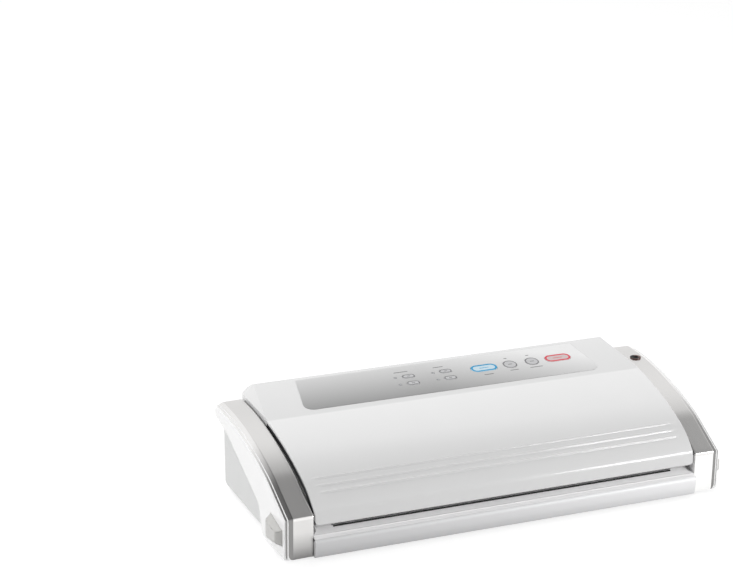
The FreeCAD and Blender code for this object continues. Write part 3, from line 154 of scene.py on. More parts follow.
# ------------------------ outlines
class Chain:
    """Points along lines and arcs in the y-z plane, moved inset to the right of the run."""

    def __init__(self, y, z, heading, inset=0.0):
        self.heading = heading
        self.inset = inset
        side_y, side_z = self.right()
        self.y = y + inset * side_y
        self.z = z + inset * side_z
        self.points = [(self.y, self.z)]

    def right(self):
        """The unit vector to the right of the run."""
        angle = math.radians(self.heading)
        return math.sin(angle), -math.cos(angle)

    def to(self, y, z, parts=1):
        """A straight run to a place, in equal parts."""
        y0, z0 = self.y, self.z
        for i in range(1, parts + 1):
            self.y = y0 + (y - y0) * i / parts
            self.z = z0 + (z - z0) * i / parts
            self.points.append((self.y, self.z))
        return self

    def line(self, length, parts=1):
        """A straight run along the heading."""
        angle = math.radians(self.heading)
        return self.to(self.y + length * math.cos(angle), self.z + length * math.sin(angle), parts)

    def arc(self, radius, turn, step=3.0):
        """An arc through turn degrees, leftward if positive, in parts of step degrees or less."""
        way = 1.0 if turn > 0 else -1.0
        radius = max(radius + way * self.inset, 0.02)
        side_y, side_z = self.right()
        centre_y, centre_z = self.y - way * radius * side_y, self.z - way * radius * side_z
        start = self.heading
        parts = max(2, math.ceil(abs(turn) / step))
        for i in range(1, parts + 1):
            self.heading = start + turn * i / parts
            side_y, side_z = self.right()
            self.y = centre_y + way * radius * side_y
            self.z = centre_z + way * radius * side_z
            self.points.append((self.y, self.z))
        return self


def beside(offset, y):
    """How far out a plane lies, at depth y, that runs offset outside the arm's inner face."""
    return ARM_INNER + (offset + y * math.sin(SPLAY)) / math.cos(SPLAY)


def splayed(x, y, z):
    """A point of the right arm, built square, turned outward with the arm."""
    dx = x - ARM_INNER
    return (ARM_INNER + dx * math.cos(SPLAY) + y * math.sin(SPLAY),
            y * math.cos(SPLAY) - dx * math.sin(SPLAY), z)


# ------------------------ materials
def new_material(name):
    """A node material: itself, its nodes, its links and its shader."""
    material = bpy.data.materials.new(name)
    material.use_nodes = True
    nodes = material.node_tree.nodes
    shader = nodes["Principled BSDF"]
    return material, nodes, material.node_tree.links, shader


def noise(nodes, links, scale, detail=2.0, stretch=None):
    """Noise over the object's own coordinates, in metres."""
    place = nodes.new("ShaderNodeTexCoord")
    texture = nodes.new("ShaderNodeTexNoise")
    texture.inputs["Scale"].default_value = scale
    texture.inputs["Detail"].default_value = detail
    if stretch is None:
        links.new(place.outputs["Object"], texture.inputs["Vector"])
    else:
        mapping = nodes.new("ShaderNodeMapping")
        mapping.inputs["Scale"].default_value = stretch
        links.new(place.outputs["Object"], mapping.inputs["Vector"])
        links.new(mapping.outputs["Vector"], texture.inputs["Vector"])
    return texture.outputs["Fac"]


def ranged(nodes, links, source, low, high):
    """Noise stretched to run from low to high."""
    node = nodes.new("ShaderNodeMapRange")
    node.inputs["From Min"].default_value = 0.3
    node.inputs["From Max"].default_value = 0.7
    node.inputs["To Min"].default_value = low
    node.inputs["To Max"].default_value = high
    links.new(source, node.inputs["Value"])
    return node.outputs["Result"]


def bumped(nodes, links, source, depth, shader):
    node = nodes.new("ShaderNodeBump")
    node.inputs["Strength"].default_value = 1.0
    node.inputs["Distance"].default_value = depth
    links.new(source, node.inputs["Height"])
    links.new(node.outputs["Normal"], shader.inputs["Normal"])


def tinted(nodes, links, source, dark, light, shader):
    """Colour that wanders between dark and light."""
    ramp = nodes.new("ShaderNodeValToRGB")
    ramp.color_ramp.elements[0].position = 0.3
    ramp.color_ramp.elements[1].position = 0.7
    ramp.color_ramp.elements[0].color = (*dark, 1)
    ramp.color_ramp.elements[1].color = (*light, 1)
    links.new(source, ramp.inputs["Fac"])
    links.new(ramp.outputs["Color"], shader.inputs["Base Color"])


def levels(ramp, stops):
    """Greys of a colour ramp: position, level."""
    ramp.color_ramp.elements[1].position = stops[-1][0]
    for position, level in stops[1:-1]:
        ramp.color_ramp.elements.new(position)
    for element, (position, level) in zip(ramp.color_ramp.elements, stops):
        element.position = position
        element.color = (level, level, level, 1)


def share_along(nodes, links, axis, low, high):
    """0 to 1 between two places along an axis of the object, in metres."""
    place = nodes.new("ShaderNodeTexCoord")
    split = nodes.new("ShaderNodeSeparateXYZ")
    links.new(place.outputs["Object"], split.inputs["Vector"])
    share = nodes.new("ShaderNodeMapRange")
    share.inputs["From Min"].default_value = low
    share.inputs["From Max"].default_value = high
    links.new(split.outputs[axis], share.inputs["Value"])
    return share.outputs["Result"]


def graded(material, axis, low, high, stops):
    """Multiplies the material's colour by a grey that depends on the place along an axis, for
    painted shade and reflection.
    """
    nodes, links = material.node_tree.nodes, material.node_tree.links
    shader = nodes["Principled BSDF"]
    ramp = nodes.new("ShaderNodeValToRGB")
    levels(ramp, stops)
    links.new(share_along(nodes, links, axis, low, high), ramp.inputs["Fac"])
    mix = nodes.new("ShaderNodeVectorMath")
    mix.operation = "MULTIPLY"
    colour = shader.inputs["Base Color"].links[0].from_socket
    links.new(colour, mix.inputs[0])
    links.new(ramp.outputs["Color"], mix.inputs[1])
    links.new(mix.outputs["Vector"], shader.inputs["Base Color"])
    return material


def shade(colour, factor):
    """The colour made lighter or darker."""
    return tuple(min(1.0, c * factor) for c in colour)


def moulded(name, colour, rough, grain=2600.0, depth=0.000004, vary=0.02, coat=0.0, metal=0.0,
            spread=0.012):
    """Moulded plastic, rubber or paint: fine grain, uneven gloss and a trace of colour change."""
    material, nodes, links, shader = new_material(name)
    shader.inputs["Metallic"].default_value = metal
    if coat:
        shader.inputs["Coat Weight"].default_value = coat
        shader.inputs["Coat Roughness"].default_value = 0.04
    tinted(nodes, links, noise(nodes, links, 24.0), shade(colour, 1 - vary),
           shade(colour, 1 + vary), shader)
    gloss = ranged(nodes, links, noise(nodes, links, 30.0), max(rough - spread, 0.02),
                   rough + spread)
    links.new(gloss, shader.inputs["Roughness"])
    bumped(nodes, links, noise(nodes, links, grain), depth, shader)
    return material


def brushed(name, colour, rough, depth=0.0000003):
    """Satin metal with fine lines along the piece's depth."""
    material, nodes, links, shader = new_material(name)
    shader.inputs["Metallic"].default_value = 1.0
    lines = noise(nodes, links, 1600.0, 2.0, (1.0, 0.02, 0.02))
    tinted(nodes, links, lines, shade(colour, 0.992), shade(colour, 1.004), shader)
    gloss = ranged(nodes, links, lines, rough - 0.01, rough + 0.01)
    links.new(gloss, shader.inputs["Roughness"])
    bumped(nodes, links, lines, depth, shader)
    return material


def panel_print_with_painted_reflection():
    """Silver print with a painted reflection, which fades from dark at its left front to pale at
    its right and up the slope.
    """
    material, nodes, links, shader = new_material("overlay_print_painted_reflection")
    ramp = nodes.new("ShaderNodeValToRGB")
    levels(ramp, ((0.0, 0.265), (0.45, 0.28), (0.75, 0.44), (1.0, 0.62)))
    links.new(share_along(nodes, links, "X", -0.14, 0.14), ramp.inputs["Fac"])
    total = nodes.new("ShaderNodeMath")
    total.operation = "MULTIPLY_ADD"
    links.new(share_along(nodes, links, "Y", 0.026, 0.076), total.inputs[0])
    total.inputs[1].default_value = 0.34
    links.new(ramp.outputs["Color"], total.inputs[2])
    limit = nodes.new("ShaderNodeMath")
    limit.operation = "MINIMUM"
    limit.inputs[1].default_value = 0.80
    links.new(total.outputs["Value"], limit.inputs[0])
    links.new(limit.outputs["Value"], shader.inputs["Base Color"])
    gloss = ranged(nodes, links, noise(nodes, links, 80.0, 4.0), 0.30, 0.34)
    links.new(gloss, shader.inputs["Roughness"])
    bumped(nodes, links, noise(nodes, links, 3000.0), 0.0000005, shader)
    return material


WHITE = (0.80, 0.80, 0.805)
METAL = (0.84, 0.83, 0.82)
LACQUER = {"grain": 900.0, "coat": 0.35, "spread": 0.02}
LID_SPAN = (-0.0854, 0.0806)    # the lid's front and rear, in the frame's metres
materials = {
    "white_gloss": moulded("white_gloss_paint", WHITE, 0.16, depth=0.0000008, vary=0.006,
                           **LACQUER),
    # lid paint: darker over the panel box and towards the front, lightest just ahead of the
    # crease: painted shade
    "lid_gloss_with_painted_shade": graded(moulded("lid_paint_with_painted_shade", (0.86, 0.86, 0.86), 0.16, depth=0.0000008,
                                vary=0.006, **LACQUER), "Y", *LID_SPAN,
                        ((0.0, 0.80), (0.13, 0.73), (0.35, 0.85), (0.635, 0.94), (0.65, 0.81),
                         (1.0, 0.88))),
    # bezel chamfers: dark at the front, brightening towards the rear: painted reflection
    "chamfer_metal_painted_reflection": graded(brushed("chamfer_metal_painted_reflection", (0.99, 0.98, 0.97), 0.26),
                            "Y", LID_SPAN[0], 0.0,
                            ((0.0, 0.26), (0.35, 0.32), (0.75, 0.80), (1.0, 1.0))),
    # bezel front faces: a lighter copy of the metal for the right one, and for the left one a copy
    # that darkens towards its foot: painted reflection
    "face_metal_right_painted_reflection": brushed("right_face_metal_painted_reflection", (0.94, 0.94, 0.93), 0.30),
    "face_metal_left_painted_reflection": graded(brushed("left_face_metal_painted_reflection", METAL, 0.26), "Z", 0.003, 0.0375,
                              ((0.0, 0.24), (0.30, 0.55), (0.65, 0.82), (1.0, 0.90))),
    "arm_gloss": moulded("arm_gloss_paint", (0.88, 0.88, 0.88), 0.16, depth=0.0000006,
                         vary=0.004, **LACQUER),
    "casing_plastic": moulded("casing_plastic", (0.66, 0.665, 0.66), 0.38, vary=0.01),
    "white_plastic": moulded("white_moulded_plastic", (0.72, 0.72, 0.73), 0.38, vary=0.012),
    "deck_plastic": moulded("deck_moulded_plastic", (0.93, 0.925, 0.93), 0.34, vary=0.01),
    # fascia: darker towards its left end and towards its bottom: painted shade
    "fascia_plastic_painted_shade": graded(graded(moulded("fascia_plastic_painted_shade", (0.95, 0.95, 0.96), 0.3, vary=0.0),
                                    "X", -0.17, 0.17, ((0.0, 0.72), (0.5, 0.85), (1.0, 1.0))),
                             "Z", 0.003, 0.018, ((0.0, 0.72), (0.5, 0.90), (1.0, 0.98))),
    "satin_metal": brushed("satin_bezel_metal", METAL, 0.24),
    "dark_plastic": moulded("dark_plastic", (0.025, 0.025, 0.027), 0.42),
    "dark_rubber": moulded("dark_rubber", (0.03, 0.03, 0.03), 0.72, depth=0.00001),
    "strip_rubber": moulded("strip_rubber", (0.05, 0.05, 0.055), 0.66, depth=0.00001),
    "clear_rubber": moulded("hose_rubber", (0.55, 0.55, 0.52), 0.35),
    "steel": brushed("bright_steel", (0.62, 0.62, 0.62), 0.24),
    "iron": moulded("dull_iron", (0.22, 0.22, 0.22), 0.5, metal=0.9),
    "tape_cloth": moulded("glass_cloth_tape", (0.33, 0.24, 0.13), 0.55, grain=4200.0,
                          depth=0.00003, vary=0.12),
    "board_green": moulded("circuit_board", (0.03, 0.16, 0.07), 0.4, vary=0.1),
    "port_brown": moulded("port_brown_plastic", (0.12, 0.055, 0.045), 0.4),
    "overlay_silver": panel_print_with_painted_reflection(),
    "key_silver": moulded("key_silver", (0.52, 0.52, 0.53), 0.32),
    "key_blue": moulded("key_blue", (0.55, 0.68, 0.75), 0.32),
    "key_red": moulded("key_red", (0.60, 0.50, 0.50), 0.32),
    "ink_grey": moulded("ink_grey", (0.13, 0.13, 0.135), 0.5),
    "ink_blue": moulded("ink_blue", (0.0, 0.29, 0.55), 0.4),
    "ink_red": moulded("ink_red", (0.66, 0.05, 0.08), 0.4),
    "lamp_lens": moulded("lamp_lens", (0.35, 0.36, 0.37), 0.12, coat=0.5),
    "button_grey": moulded("button_grey_plastic", (0.52, 0.515, 0.50), 0.34, vary=0.01),
}
slot_of = {part["node"]: part["material_slot"] for part in frame["record"]["subparts"]}

# nodes that take another material than the one named after their slot
LOOKS = {"lower_casing": "casing_plastic", "base_plate": "casing_plastic",
         "front_fascia": "fascia_plastic_painted_shade"}


# ------------------------ making pieces
def finish_piece(piece, look, body, replaced=()):
    """Links the piece with its material, its body and the nodes it stands for."""
    scene.collection.objects.link(piece)
    piece.data.materials.clear()
    piece.data.materials.append(materials[look])
    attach(piece, body)
    if replaced:
        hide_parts(*replaced)
    return piece


def smoothed(mesh, angle):
    """Smooth shading, kept sharp along edges that turn more than the angle."""
    mesh.shade_smooth()
    mesh.set_sharp_from_angle(angle=math.radians(angle))


def soften(piece, width=0.0):
    """Round the piece's edges a little, as a mould or a press does."""
    if width > 0:
        bevel = piece.modifiers.new("edges", "BEVEL")
        bevel.width = width / 1000
        bevel.segments = 2
        bevel.limit_method = "ANGLE"
        bevel.angle_limit = math.radians(EDGE_ANGLE)
        bevel.use_clamp_overlap = False
        bevel.harden_normals = False
    weigh = piece.modifiers.new("weigh", "WEIGHTED_NORMAL")
    weigh.keep_sharp = True
    weigh.weight = 80


def body_of_node(node):
    """The body that a CAD node belongs to."""
    return frame["nodes"][node]["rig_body"]


def dressed(node, edge):
    """A CAD solid welded, freed of its flat seams and given rounded edges."""
    mesh = frame["nodes"][node].data.copy()
    mesh.name = node + "_dressed"
    work = bmesh.new()
    work.from_mesh(mesh)
    bmesh.ops.remove_doubles(work, verts=work.verts, dist=0.000004)
    bmesh.ops.dissolve_limit(work, angle_limit=math.radians(0.6), verts=work.verts,
                             edges=work.edges)
    work.to_mesh(mesh)
    work.free()
    if mesh.has_custom_normals:
        mesh.attributes.remove(mesh.attributes["custom_normal"])
    smoothed(mesh, EDGE_ANGLE)
    piece = bpy.data.objects.new(node + "_dressed", mesh)
    finish_piece(piece, LOOKS.get(node, slot_of[node]), body_of_node(node), (node,))
    soften(piece, edge)
    return piece


def sprung(piece):
    """Gives a coil its own copy of its mesh."""
    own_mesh(piece)


def inset_ring(ring, depth):
    """A closed outline moved inward by depth, for one that runs anticlockwise."""
    moved = []
    for i, (u, v) in enumerate(ring):
        u0, v0 = ring[i - 1]
        u1, v1 = ring[(i + 1) % len(ring)]
        before = Vector((u - u0, v - v0)).normalized()
        after = Vector((u1 - u, v1 - v)).normalized()
        normal = Vector((-before.y - after.y, before.x + after.x))
        size = max(normal.length_squared, 0.5)
        moved.append((u + normal.x * 2 * depth / size, v + normal.y * 2 * depth / size))
    return moved


def anticlockwise(ring):
    """The ring, reversed if it runs clockwise."""
    area = sum(a[0] * b[1] - b[0] * a[1] for a, b in zip(ring, ring[1:] + ring[:1]))
    return ring if area > 0 else list(reversed(ring))


def plate(name, outline, holes, low, high, rounding, place, look, body, replaced=(), steps=4):
    """A flat piece between low and high with a rounded upper edge and holes right through.

    place turns (u, v, w) into millimetres.
    """
    work = bmesh.new()

    def add_ring(ring, w):
        return [work.verts.new(put(*place(u, v, w))) for u, v in ring]

    def join(first, second, inward):
        for i in range(len(first)):
            j = (i + 1) % len(first)
            corners = (first[i], first[j], second[j], second[i])
            work.faces.new(tuple(reversed(corners)) if inward else corners)

    ring = anticlockwise(outline)
    rounds = []
    for i in range(steps + 1):
        angle = math.pi / 2 * i / steps
        rounds.append((rounding * (1 - math.cos(angle)),
                       high - rounding + rounding * math.sin(angle)))
    rings = [add_ring(ring, low)]
    rings += [add_ring(inset_ring(ring, depth), w) for depth, w in rounds]
    for first, second in zip(rings, rings[1:]):
        join(first, second, False)
    tops, bottoms = [rings[-1]], [rings[0]]
    for hole in holes:
        edge = anticlockwise(hole)
        soft = min(rounding, 0.25)
        lower = add_ring(edge, low)
        middle = add_ring(edge, high - soft)
        upper = add_ring(inset_ring(edge, -soft), high)
        join(lower, middle, True)
        join(middle, upper, True)
        tops.append(upper)
        bottoms.append(lower)
    for group in (tops, bottoms):
        edges = [work.edges.get(pair) for loop in group for pair in zip(loop, loop[1:] + loop[:1])]
        bmesh.ops.triangle_fill(work, use_beauty=True, use_dissolve=False, edges=edges)
    bmesh.ops.recalc_face_normals(work, faces=work.faces)
    mesh = bpy.data.meshes.new(name)
    work.to_mesh(mesh)
    work.free()
    smoothed(mesh, EDGE_ANGLE)
    piece = bpy.data.objects.new(name, mesh)
    finish_piece(piece, look, body, replaced)
    soften(piece)
    return piece


def carved(piece, cutter_points, cutter_faces):
    """Cuts a closed form out of the piece."""
    mesh = bpy.data.meshes.new("cutter")
    mesh.from_pydata([put(*point) for point in cutter_points], [], cutter_faces)
    cutter = bpy.data.objects.new("cutter", mesh)
    scene.collection.objects.link(cutter)
    cut = piece.modifiers.new("cut", "BOOLEAN")
    cut.operation = "DIFFERENCE"
    cut.solver = "EXACT"
    cut.object = cutter
    bpy.context.view_layer.update()
    graph = bpy.context.evaluated_depsgraph_get()
    made = bpy.data.meshes.new_from_object(piece.evaluated_get(graph))
    piece.modifiers.remove(cut)
    piece.data = made
    bpy.data.objects.remove(cutter)


# ------------------------ arms
def arm_crest(inset, reach="bezel", fine=True):
    """An arm's front and top as far as the room inside it, the bezel's end or the rear nose."""
    front, ramp = math.radians(ARM_LEAN), math.radians(ARM_RAMP)
    turn = ARM_RAMP - ARM_LEAN
    radius = max(ARM_NOSE_RADIUS - inset, 0.3)
    rounding = radius * math.tan(math.radians(-turn / 2))
    blend = inset / (1 + math.cos(front - ramp))
    corner_y = blend * (math.sin(front) + math.sin(ramp))
    corner_z = ARM_NOSE_TOP - blend * (math.cos(front) + math.cos(ramp))
    chain = Chain((ARM_SILL - ARM_NOSE_TOP) / math.tan(front), ARM_SILL, ARM_LEAN, inset)
    top_y = corner_y - rounding * math.cos(front)
    top_z = corner_z - rounding * math.sin(front)
    y0, z0 = chain.y, chain.z
    shares = (0.03, 0.06, 0.09, 0.12, 0.35, 0.65, 0.95, 0.962, 1.0) if fine else (1.0,)
    for share in shares:
        chain.to(y0 + (top_y - y0) * share, z0 + (top_z - z0) * share)
    chain.arc(radius + inset, turn, 8.0)
    chain.to(ARM_RAMP_RUN * math.cos(ramp) + inset * math.sin(ramp),
             ARM_NOSE_TOP + ARM_RAMP_RUN * math.sin(ramp) - inset * math.cos(ramp),
             8 if fine else 1)
    for radius, turn, step in ARM_ARCS:
        chain.arc(radius, turn, step)
    if reach != "room":
        chain.arc(ARM_HEEL_RADIUS, -60.0, 6.0)
    if reach == "nose":
        chain.arc(ARM_HEEL_RADIUS, -27.5, 7.0)
    return chain


def arm_outline(inset):
    """The side outline of an arm: crest, rear nose, band and front pad."""
    chain = arm_crest(inset, "nose", fine=False)
    chain.inset = 0.0
    bend_y, bend_z = BAND_BEND
    corner = bend_z + (chain.y - bend_y) * math.tan(math.radians(BAND_REAR_SLOPE))
    turn = 90.0 - BAND_REAR_SLOPE
    chain.to(chain.y, corner + BAND_CORNER_RADIUS * math.tan(math.radians(turn / 2)))
    chain.arc(BAND_CORNER_RADIUS, -turn, 8.0).to(bend_y, bend_z)
    chain.arc(*BAND_ARC, 1.5).line(BAND_RUN, 6).arc(*PAD_ARC, 6.0)
    lean = math.radians(PAD_LEAN)
    drop = chain.z - ARM_SILL - PAD_RADIUS * (1 - math.cos(lean))
    chain.line(drop / math.sin(lean)).arc(PAD_RADIUS, -PAD_LEAN, 8.0)
    clean = [chain.points[0]]
    for point in chain.points[1:]:
        if math.dist(point, clean[-1]) > 0.05:
            clean.append(point)
    return clean


def on_arm(side):
    """Places of an arm: (depth, height, distance out from the arm's inner face)."""
    def place(u, v, w):
        x, y, z = splayed(ARM_INNER + w, u, v)
        return side * x, y, z
    return place


def bezel_section():
    """Across the metal strip: (distance out, distance under the crest, share of front recess)."""
    outer = STRIP + CHAMFER
    section = [(0.0, 1.6, 0), (0.0, 0.5, 0), (0.06, 0.25, 0), (0.22, 0.07, 0), (0.5, 0.0, 0),
               (1.2, 0.0, 0), (1.5, 0.0, 1), (5.0, 0.0, 1), (11.0, 0.0, 1), (15.5, 0.0, 1),
               (16.3, 0.0, 1)]
    slope = CHAMFER_DROP / CHAMFER
    for share in (-0.5, 0.0, 0.5, 1.0):
        out = STRIP + 0.6 * share
        section.append((out, max(0.0, (share + 0.5) ** 2 * 0.12), 1))
    section += [(outer - 0.5, CHAMFER_DROP - 0.5 * slope, 0),
                (outer - 0.12, CHAMFER_DROP + 0.02, 0), (outer, CHAMFER_DROP + 0.3, 0),
                (outer, CHAMFER_DROP + 1.6, 0), (STRIP, 1.6, 0)]
    return section


def make_bezel(name, side):
    """A metal bezel: front face, ramp and crest in one skin, with its sloping outer edge."""
    section = bezel_section()
    points, faces = [], []
    for out, inset, recess in section:
        column = arm_crest(inset).points
        for i, (y, z) in enumerate(column):
            under = max(0.0, 1 - (z - ARM_SILL) / CURL[0])
            back = CURL[1] * under ** 2
            if recess and i < FACE_ROWS:
                back += FACE_RECESS
            points.append(put(*on_arm(side)(y + back, z, out)))
    rows = len(column)
    count = len(section)
    looks = []
    for j in range(count):
        k = (j + 1) % count
        sloping = STRIP + 0.1 < (section[j][0] + section[k][0]) / 2
        for i in range(rows - 1):
            faces.append((j * rows + i, k * rows + i, k * rows + i + 1, j * rows + i + 1))
            looks.append(1 if sloping else 2 if i < FACE_ROWS else 0)
    faces.append(tuple(j * rows for j in range(count)))
    faces.append(tuple(j * rows + rows - 1 for j in reversed(range(count))))
    if side > 0:
        faces = [tuple(reversed(face)) for face in faces]
    mesh = bpy.data.meshes.new(name + "_skin")
    mesh.from_pydata(points, [], faces)
    mesh.update()
    smoothed(mesh, 30.0)
    piece = bpy.data.objects.new(name + "_skin", mesh)
    finish_piece(piece, "satin_metal", "base", (name,))
    # the chamfer and the front face take the materials with painted reflection
    for extra in ("chamfer_metal_painted_reflection", "face_metal_right_painted_reflection" if side > 0 else "face_metal_left_painted_reflection"):
        piece.data.materials.append(materials[extra])
    for face, look in zip(piece.data.polygons, looks + [0, 0]):
        face.material_index = look
    return piece


def make_arm(name, side):
    """The white parts of an arm, and a dark strip along its inner face as painted shade of the gap
    beside the lid; returns the core.
    """
    outer = STRIP + CHAMFER
    place = on_arm(side)
    opening = list(BUTTON)
    plate(name + "_side", arm_outline(CHAMFER_DROP), [opening], outer - 1.4, outer + BAND_PROUD,
          0.9, place, "arm_gloss", "base", (name,))
    core = plate(name + "_core", arm_outline(1.7), [opening], outer - 1.45, 0.0, 0.5, place,
                 "arm_gloss", "base", (name,))
    crest = arm_crest(1.75, "bezel", fine=False).points
    top = [(y, z) for y, z in crest if WALL_FRONT < y < WALL_REAR]
    step_y, step_z = WALL_STEP
    wall = [(WALL_FRONT, WALL_LOW), (WALL_FRONT, WALL_TOP)] + top
    wall += [(WALL_REAR, top[-1][1] - 1.0), (WALL_REAR, step_z), (step_y, step_z),
             (step_y, WALL_LOW)]
    plate(name + "_inner", wall, [list(LATCH_SLOT)], 2.4, 0.02, 0.3, place, "white_plastic",
          "base", (name,))
    # a dark sheet under the crest stands for the shadow in the gap: painted shade
    upper, lower = ([point for point in arm_crest(depth, "room", fine=False).points
                     if point[1] > 30.0] for depth in GAP_SHADE)
    plate(name + "_gap_shade", upper + lower[::-1], [], 0.0, -0.25, 0.05, place, "dark_plastic",
          "base", (name,), steps=1)
    return core


def make_slot_shade_strip():
    """Painted shade: a dark strip along the rear of the bag slot's sloping shelf, for the shadow
    in the slot under the lid.
    """
    def place(u, v, w):
        return (u, SHELF_FRONT[0] + v * math.cos(SHELF_SLOPE) - w * math.sin(SHELF_SLOPE),
                SHELF_FRONT[1] + v * math.sin(SHELF_SLOPE) + w * math.cos(SHELF_SLOPE))

    low, high = SLOT_SHADE_STRIP
    outline = [(-SLOT_HALF, low), (SLOT_HALF, low), (SLOT_HALF, high), (-SLOT_HALF, high)]
    plate("slot_painted_shade_strip", outline, [], 0.01, 0.12, 0.04, place, "dark_rubber", "base", steps=1)


def close_fascia(shrink=0.985, skin=0.00005, depth=0.0006):
    """Thin walls that close the hollow fascia's ends, beside the arms."""
    node = frame["nodes"]["front_fascia"]
    section = [node.matrix_world @ vertex.co for vertex in node.data.vertices]
    reach = max(point.x for point in section)
    for side, word in SIDES:
        end = [point for point in section if point.x * side > reach - 0.001]
        middle = sum(end, Vector()) / len(end)
        work = bmesh.new()
        for point in end:
            place = middle + (point - middle) * shrink
            for inset in (skin, depth):
                work.verts.new((point.x - side * inset, place.y, place.z))
        hull = bmesh.ops.convex_hull(work, input=work.verts)
        spare = dict.fromkeys(item for key in ("geom_interior", "geom_unused")
                              for item in hull[key] if isinstance(item, bmesh.types.BMVert))
        bmesh.ops.delete(work, geom=list(spare), context="VERTS")
        bmesh.ops.recalc_face_normals(work, faces=work.faces)
        mesh = bpy.data.meshes.new("fascia_end_" + word)
        work.to_mesh(mesh)
        work.free()
        smoothed(mesh, 25.0)
        finish_piece(bpy.data.objects.new("fascia_end_" + word, mesh), "fascia_plastic_painted_shade", "base")


def port_cutter():
    """A round bar through the right arm's top where the hose port sits."""
    count = 24
    points = []
    for height in (58.0, 80.0):
        for i in range(count):
            angle = math.radians(360 * i / count)
            points.append(splayed(PORT[0] + PORT_RADIUS * math.cos(angle),
                                  PORT[1] + PORT_RADIUS * math.sin(angle), height))
    faces = [tuple(reversed(range(count))), tuple(range(count, 2 * count))]
    for i in range(count):
        j = (i + 1) % count
        faces.append((i, j, count + j, count + i))
    return points, faces


# ------------------------ lid
def lid_run(inset):
    """Rows along the lid's crest, and the numbers of the rows that matter."""
    chain = Chain(LID_FRONT, LIP_HEIGHT, LIP_SLOPE, inset)
    marks = {}
    chain.line(LIP_RISE, 8)
    marks["lip"] = len(chain.points)
    chain.arc(*LIP_BEND, 4.0).line(LIP_BACK, 8)
    for radius, turn, step in LID_ARCS:
        chain.arc(radius, turn, step)
    marks["crease"] = len(chain.points) - 1
    chain.line(PANEL_START, 3)
    marks["panel_front"] = len(chain.points) - 1
    chain.line(PANEL_RUN, 12)
    marks["panel_rear"] = len(chain.points) - 1
    chain.line(BOX_RUN - PANEL_START - PANEL_RUN, 2).arc(*BOX_BEND, 8.0)
    chain.to(chain.y, HINGE_TOP, 3)
    marks["notch"] = len(chain.points) - 1
    chain.to(chain.y, REAR_LOW, 4)
    return chain.points, marks


def ridge_height(y, slope_cos, end_distance):
    """How far the ribs rise over the lid at depth y and a distance from the lid's end."""
    total = 0.0
    for place, end in RIBS:
        across = (y - place) / (slope_cos * RIB_HALF)
        if abs(across) < 1:
            along = min(max((end_distance - end) / RIB_FADE, 0.0), 1.0)
            along = along * along * (3 - 2 * along)
            total += RIB_PROUD * along * 0.5 * (1 + math.cos(math.pi * across))
    return total


def lid_columns():
    """Across the lid from left to right: (side, distance from the end or None, place, inset)."""
    radius = 0.9
    edge = []
    for i in range(7):
        angle = math.pi / 2 * i / 6
        edge.append((radius - radius * math.cos(angle), radius - radius * math.sin(angle)))
    edge += [(out, 0.0) for out in (1.8, 2.8, 3.6, 4.4, 5.2, 6.0, 7.0, 8.0, 9.0, 10.0, 11.5, 13.0,
                                    15.0, 17.0, 19.0, 22.0, 26.0)]
    low, high = HINGE_X - HINGE_HALF, HINGE_X + HINGE_HALF
    columns = [(-1, out, 0.0, inset) for out, inset in edge]
    left, right = PANEL_SIDES
    for x in (-high, -low, -85, left, -30, 0, 30, 60, 90, low, right, high):
        columns.append((0, None, float(x), 0.0))
    columns += [(1, out, 0.0, inset) for out, inset in reversed(edge)]
    return columns


def lid_end(y):
    """How far out the lid reaches at depth y."""
    return beside(-LID_GAP - LID_EASE, y)


def lid_grid(work, columns, outer, inner, lip):
    """Points of the lid's skin, column by column, with the lip's corners and the ribs."""
    grid = []
    for side, out, place, inset in columns:
        line = []
        for i, ((y, z), (y1, z1)) in enumerate(zip(outer, inner)):
            in_y, in_z = y1 - y, z1 - z
            distance = out if out is not None else 99.0
            if i < lip and distance < LIP_CORNER:
                lift = LIP_CORNER - math.sqrt(LIP_CORNER ** 2 - (LIP_CORNER - distance) ** 2)
                share = lift / LIP_RISE + i / (lip - 1) * (1 - lift / LIP_RISE)
                y = outer[0][0] + (outer[lip - 1][0] - outer[0][0]) * share
                z = outer[0][1] + (outer[lip - 1][1] - outer[0][1]) * share
            depth = inset - ridge_height(y, max(-in_z, 0.3), distance)
            y, z = y + in_y * depth, z + in_z * depth
            x = place if out is None else side * (lid_end(y) - out)
            line.append(work.verts.new(put(x, y, z)))
        grid.append(line)
    return grid


def fill_lid(work, columns, grid, marks):
    """Faces between those points, with the panel's opening and the hinge notches left out."""
    for j in range(len(columns) - 1):
        out, place = columns[j][1:3]
        next_out, next_place = columns[j + 1][1:3]
        middle = (place + next_place) / 2
        free = out is None and next_out is None
        at_panel = free and PANEL_SIDES[0] < middle < PANEL_SIDES[1]
        at_hinge = free and HINGE_X - HINGE_HALF < abs(middle) < HINGE_X + HINGE_HALF
        for i in range(len(grid[j]) - 1):
            if at_panel and marks["panel_front"] <= i < marks["panel_rear"]:
                continue
            if at_hinge and i >= marks["notch"]:
                continue
            work.faces.new((grid[j][i], grid[j + 1][i], grid[j + 1][i + 1], grid[j][i + 1]))
    work.faces.new(grid[0])
    work.faces.new(list(reversed(grid[-1])))


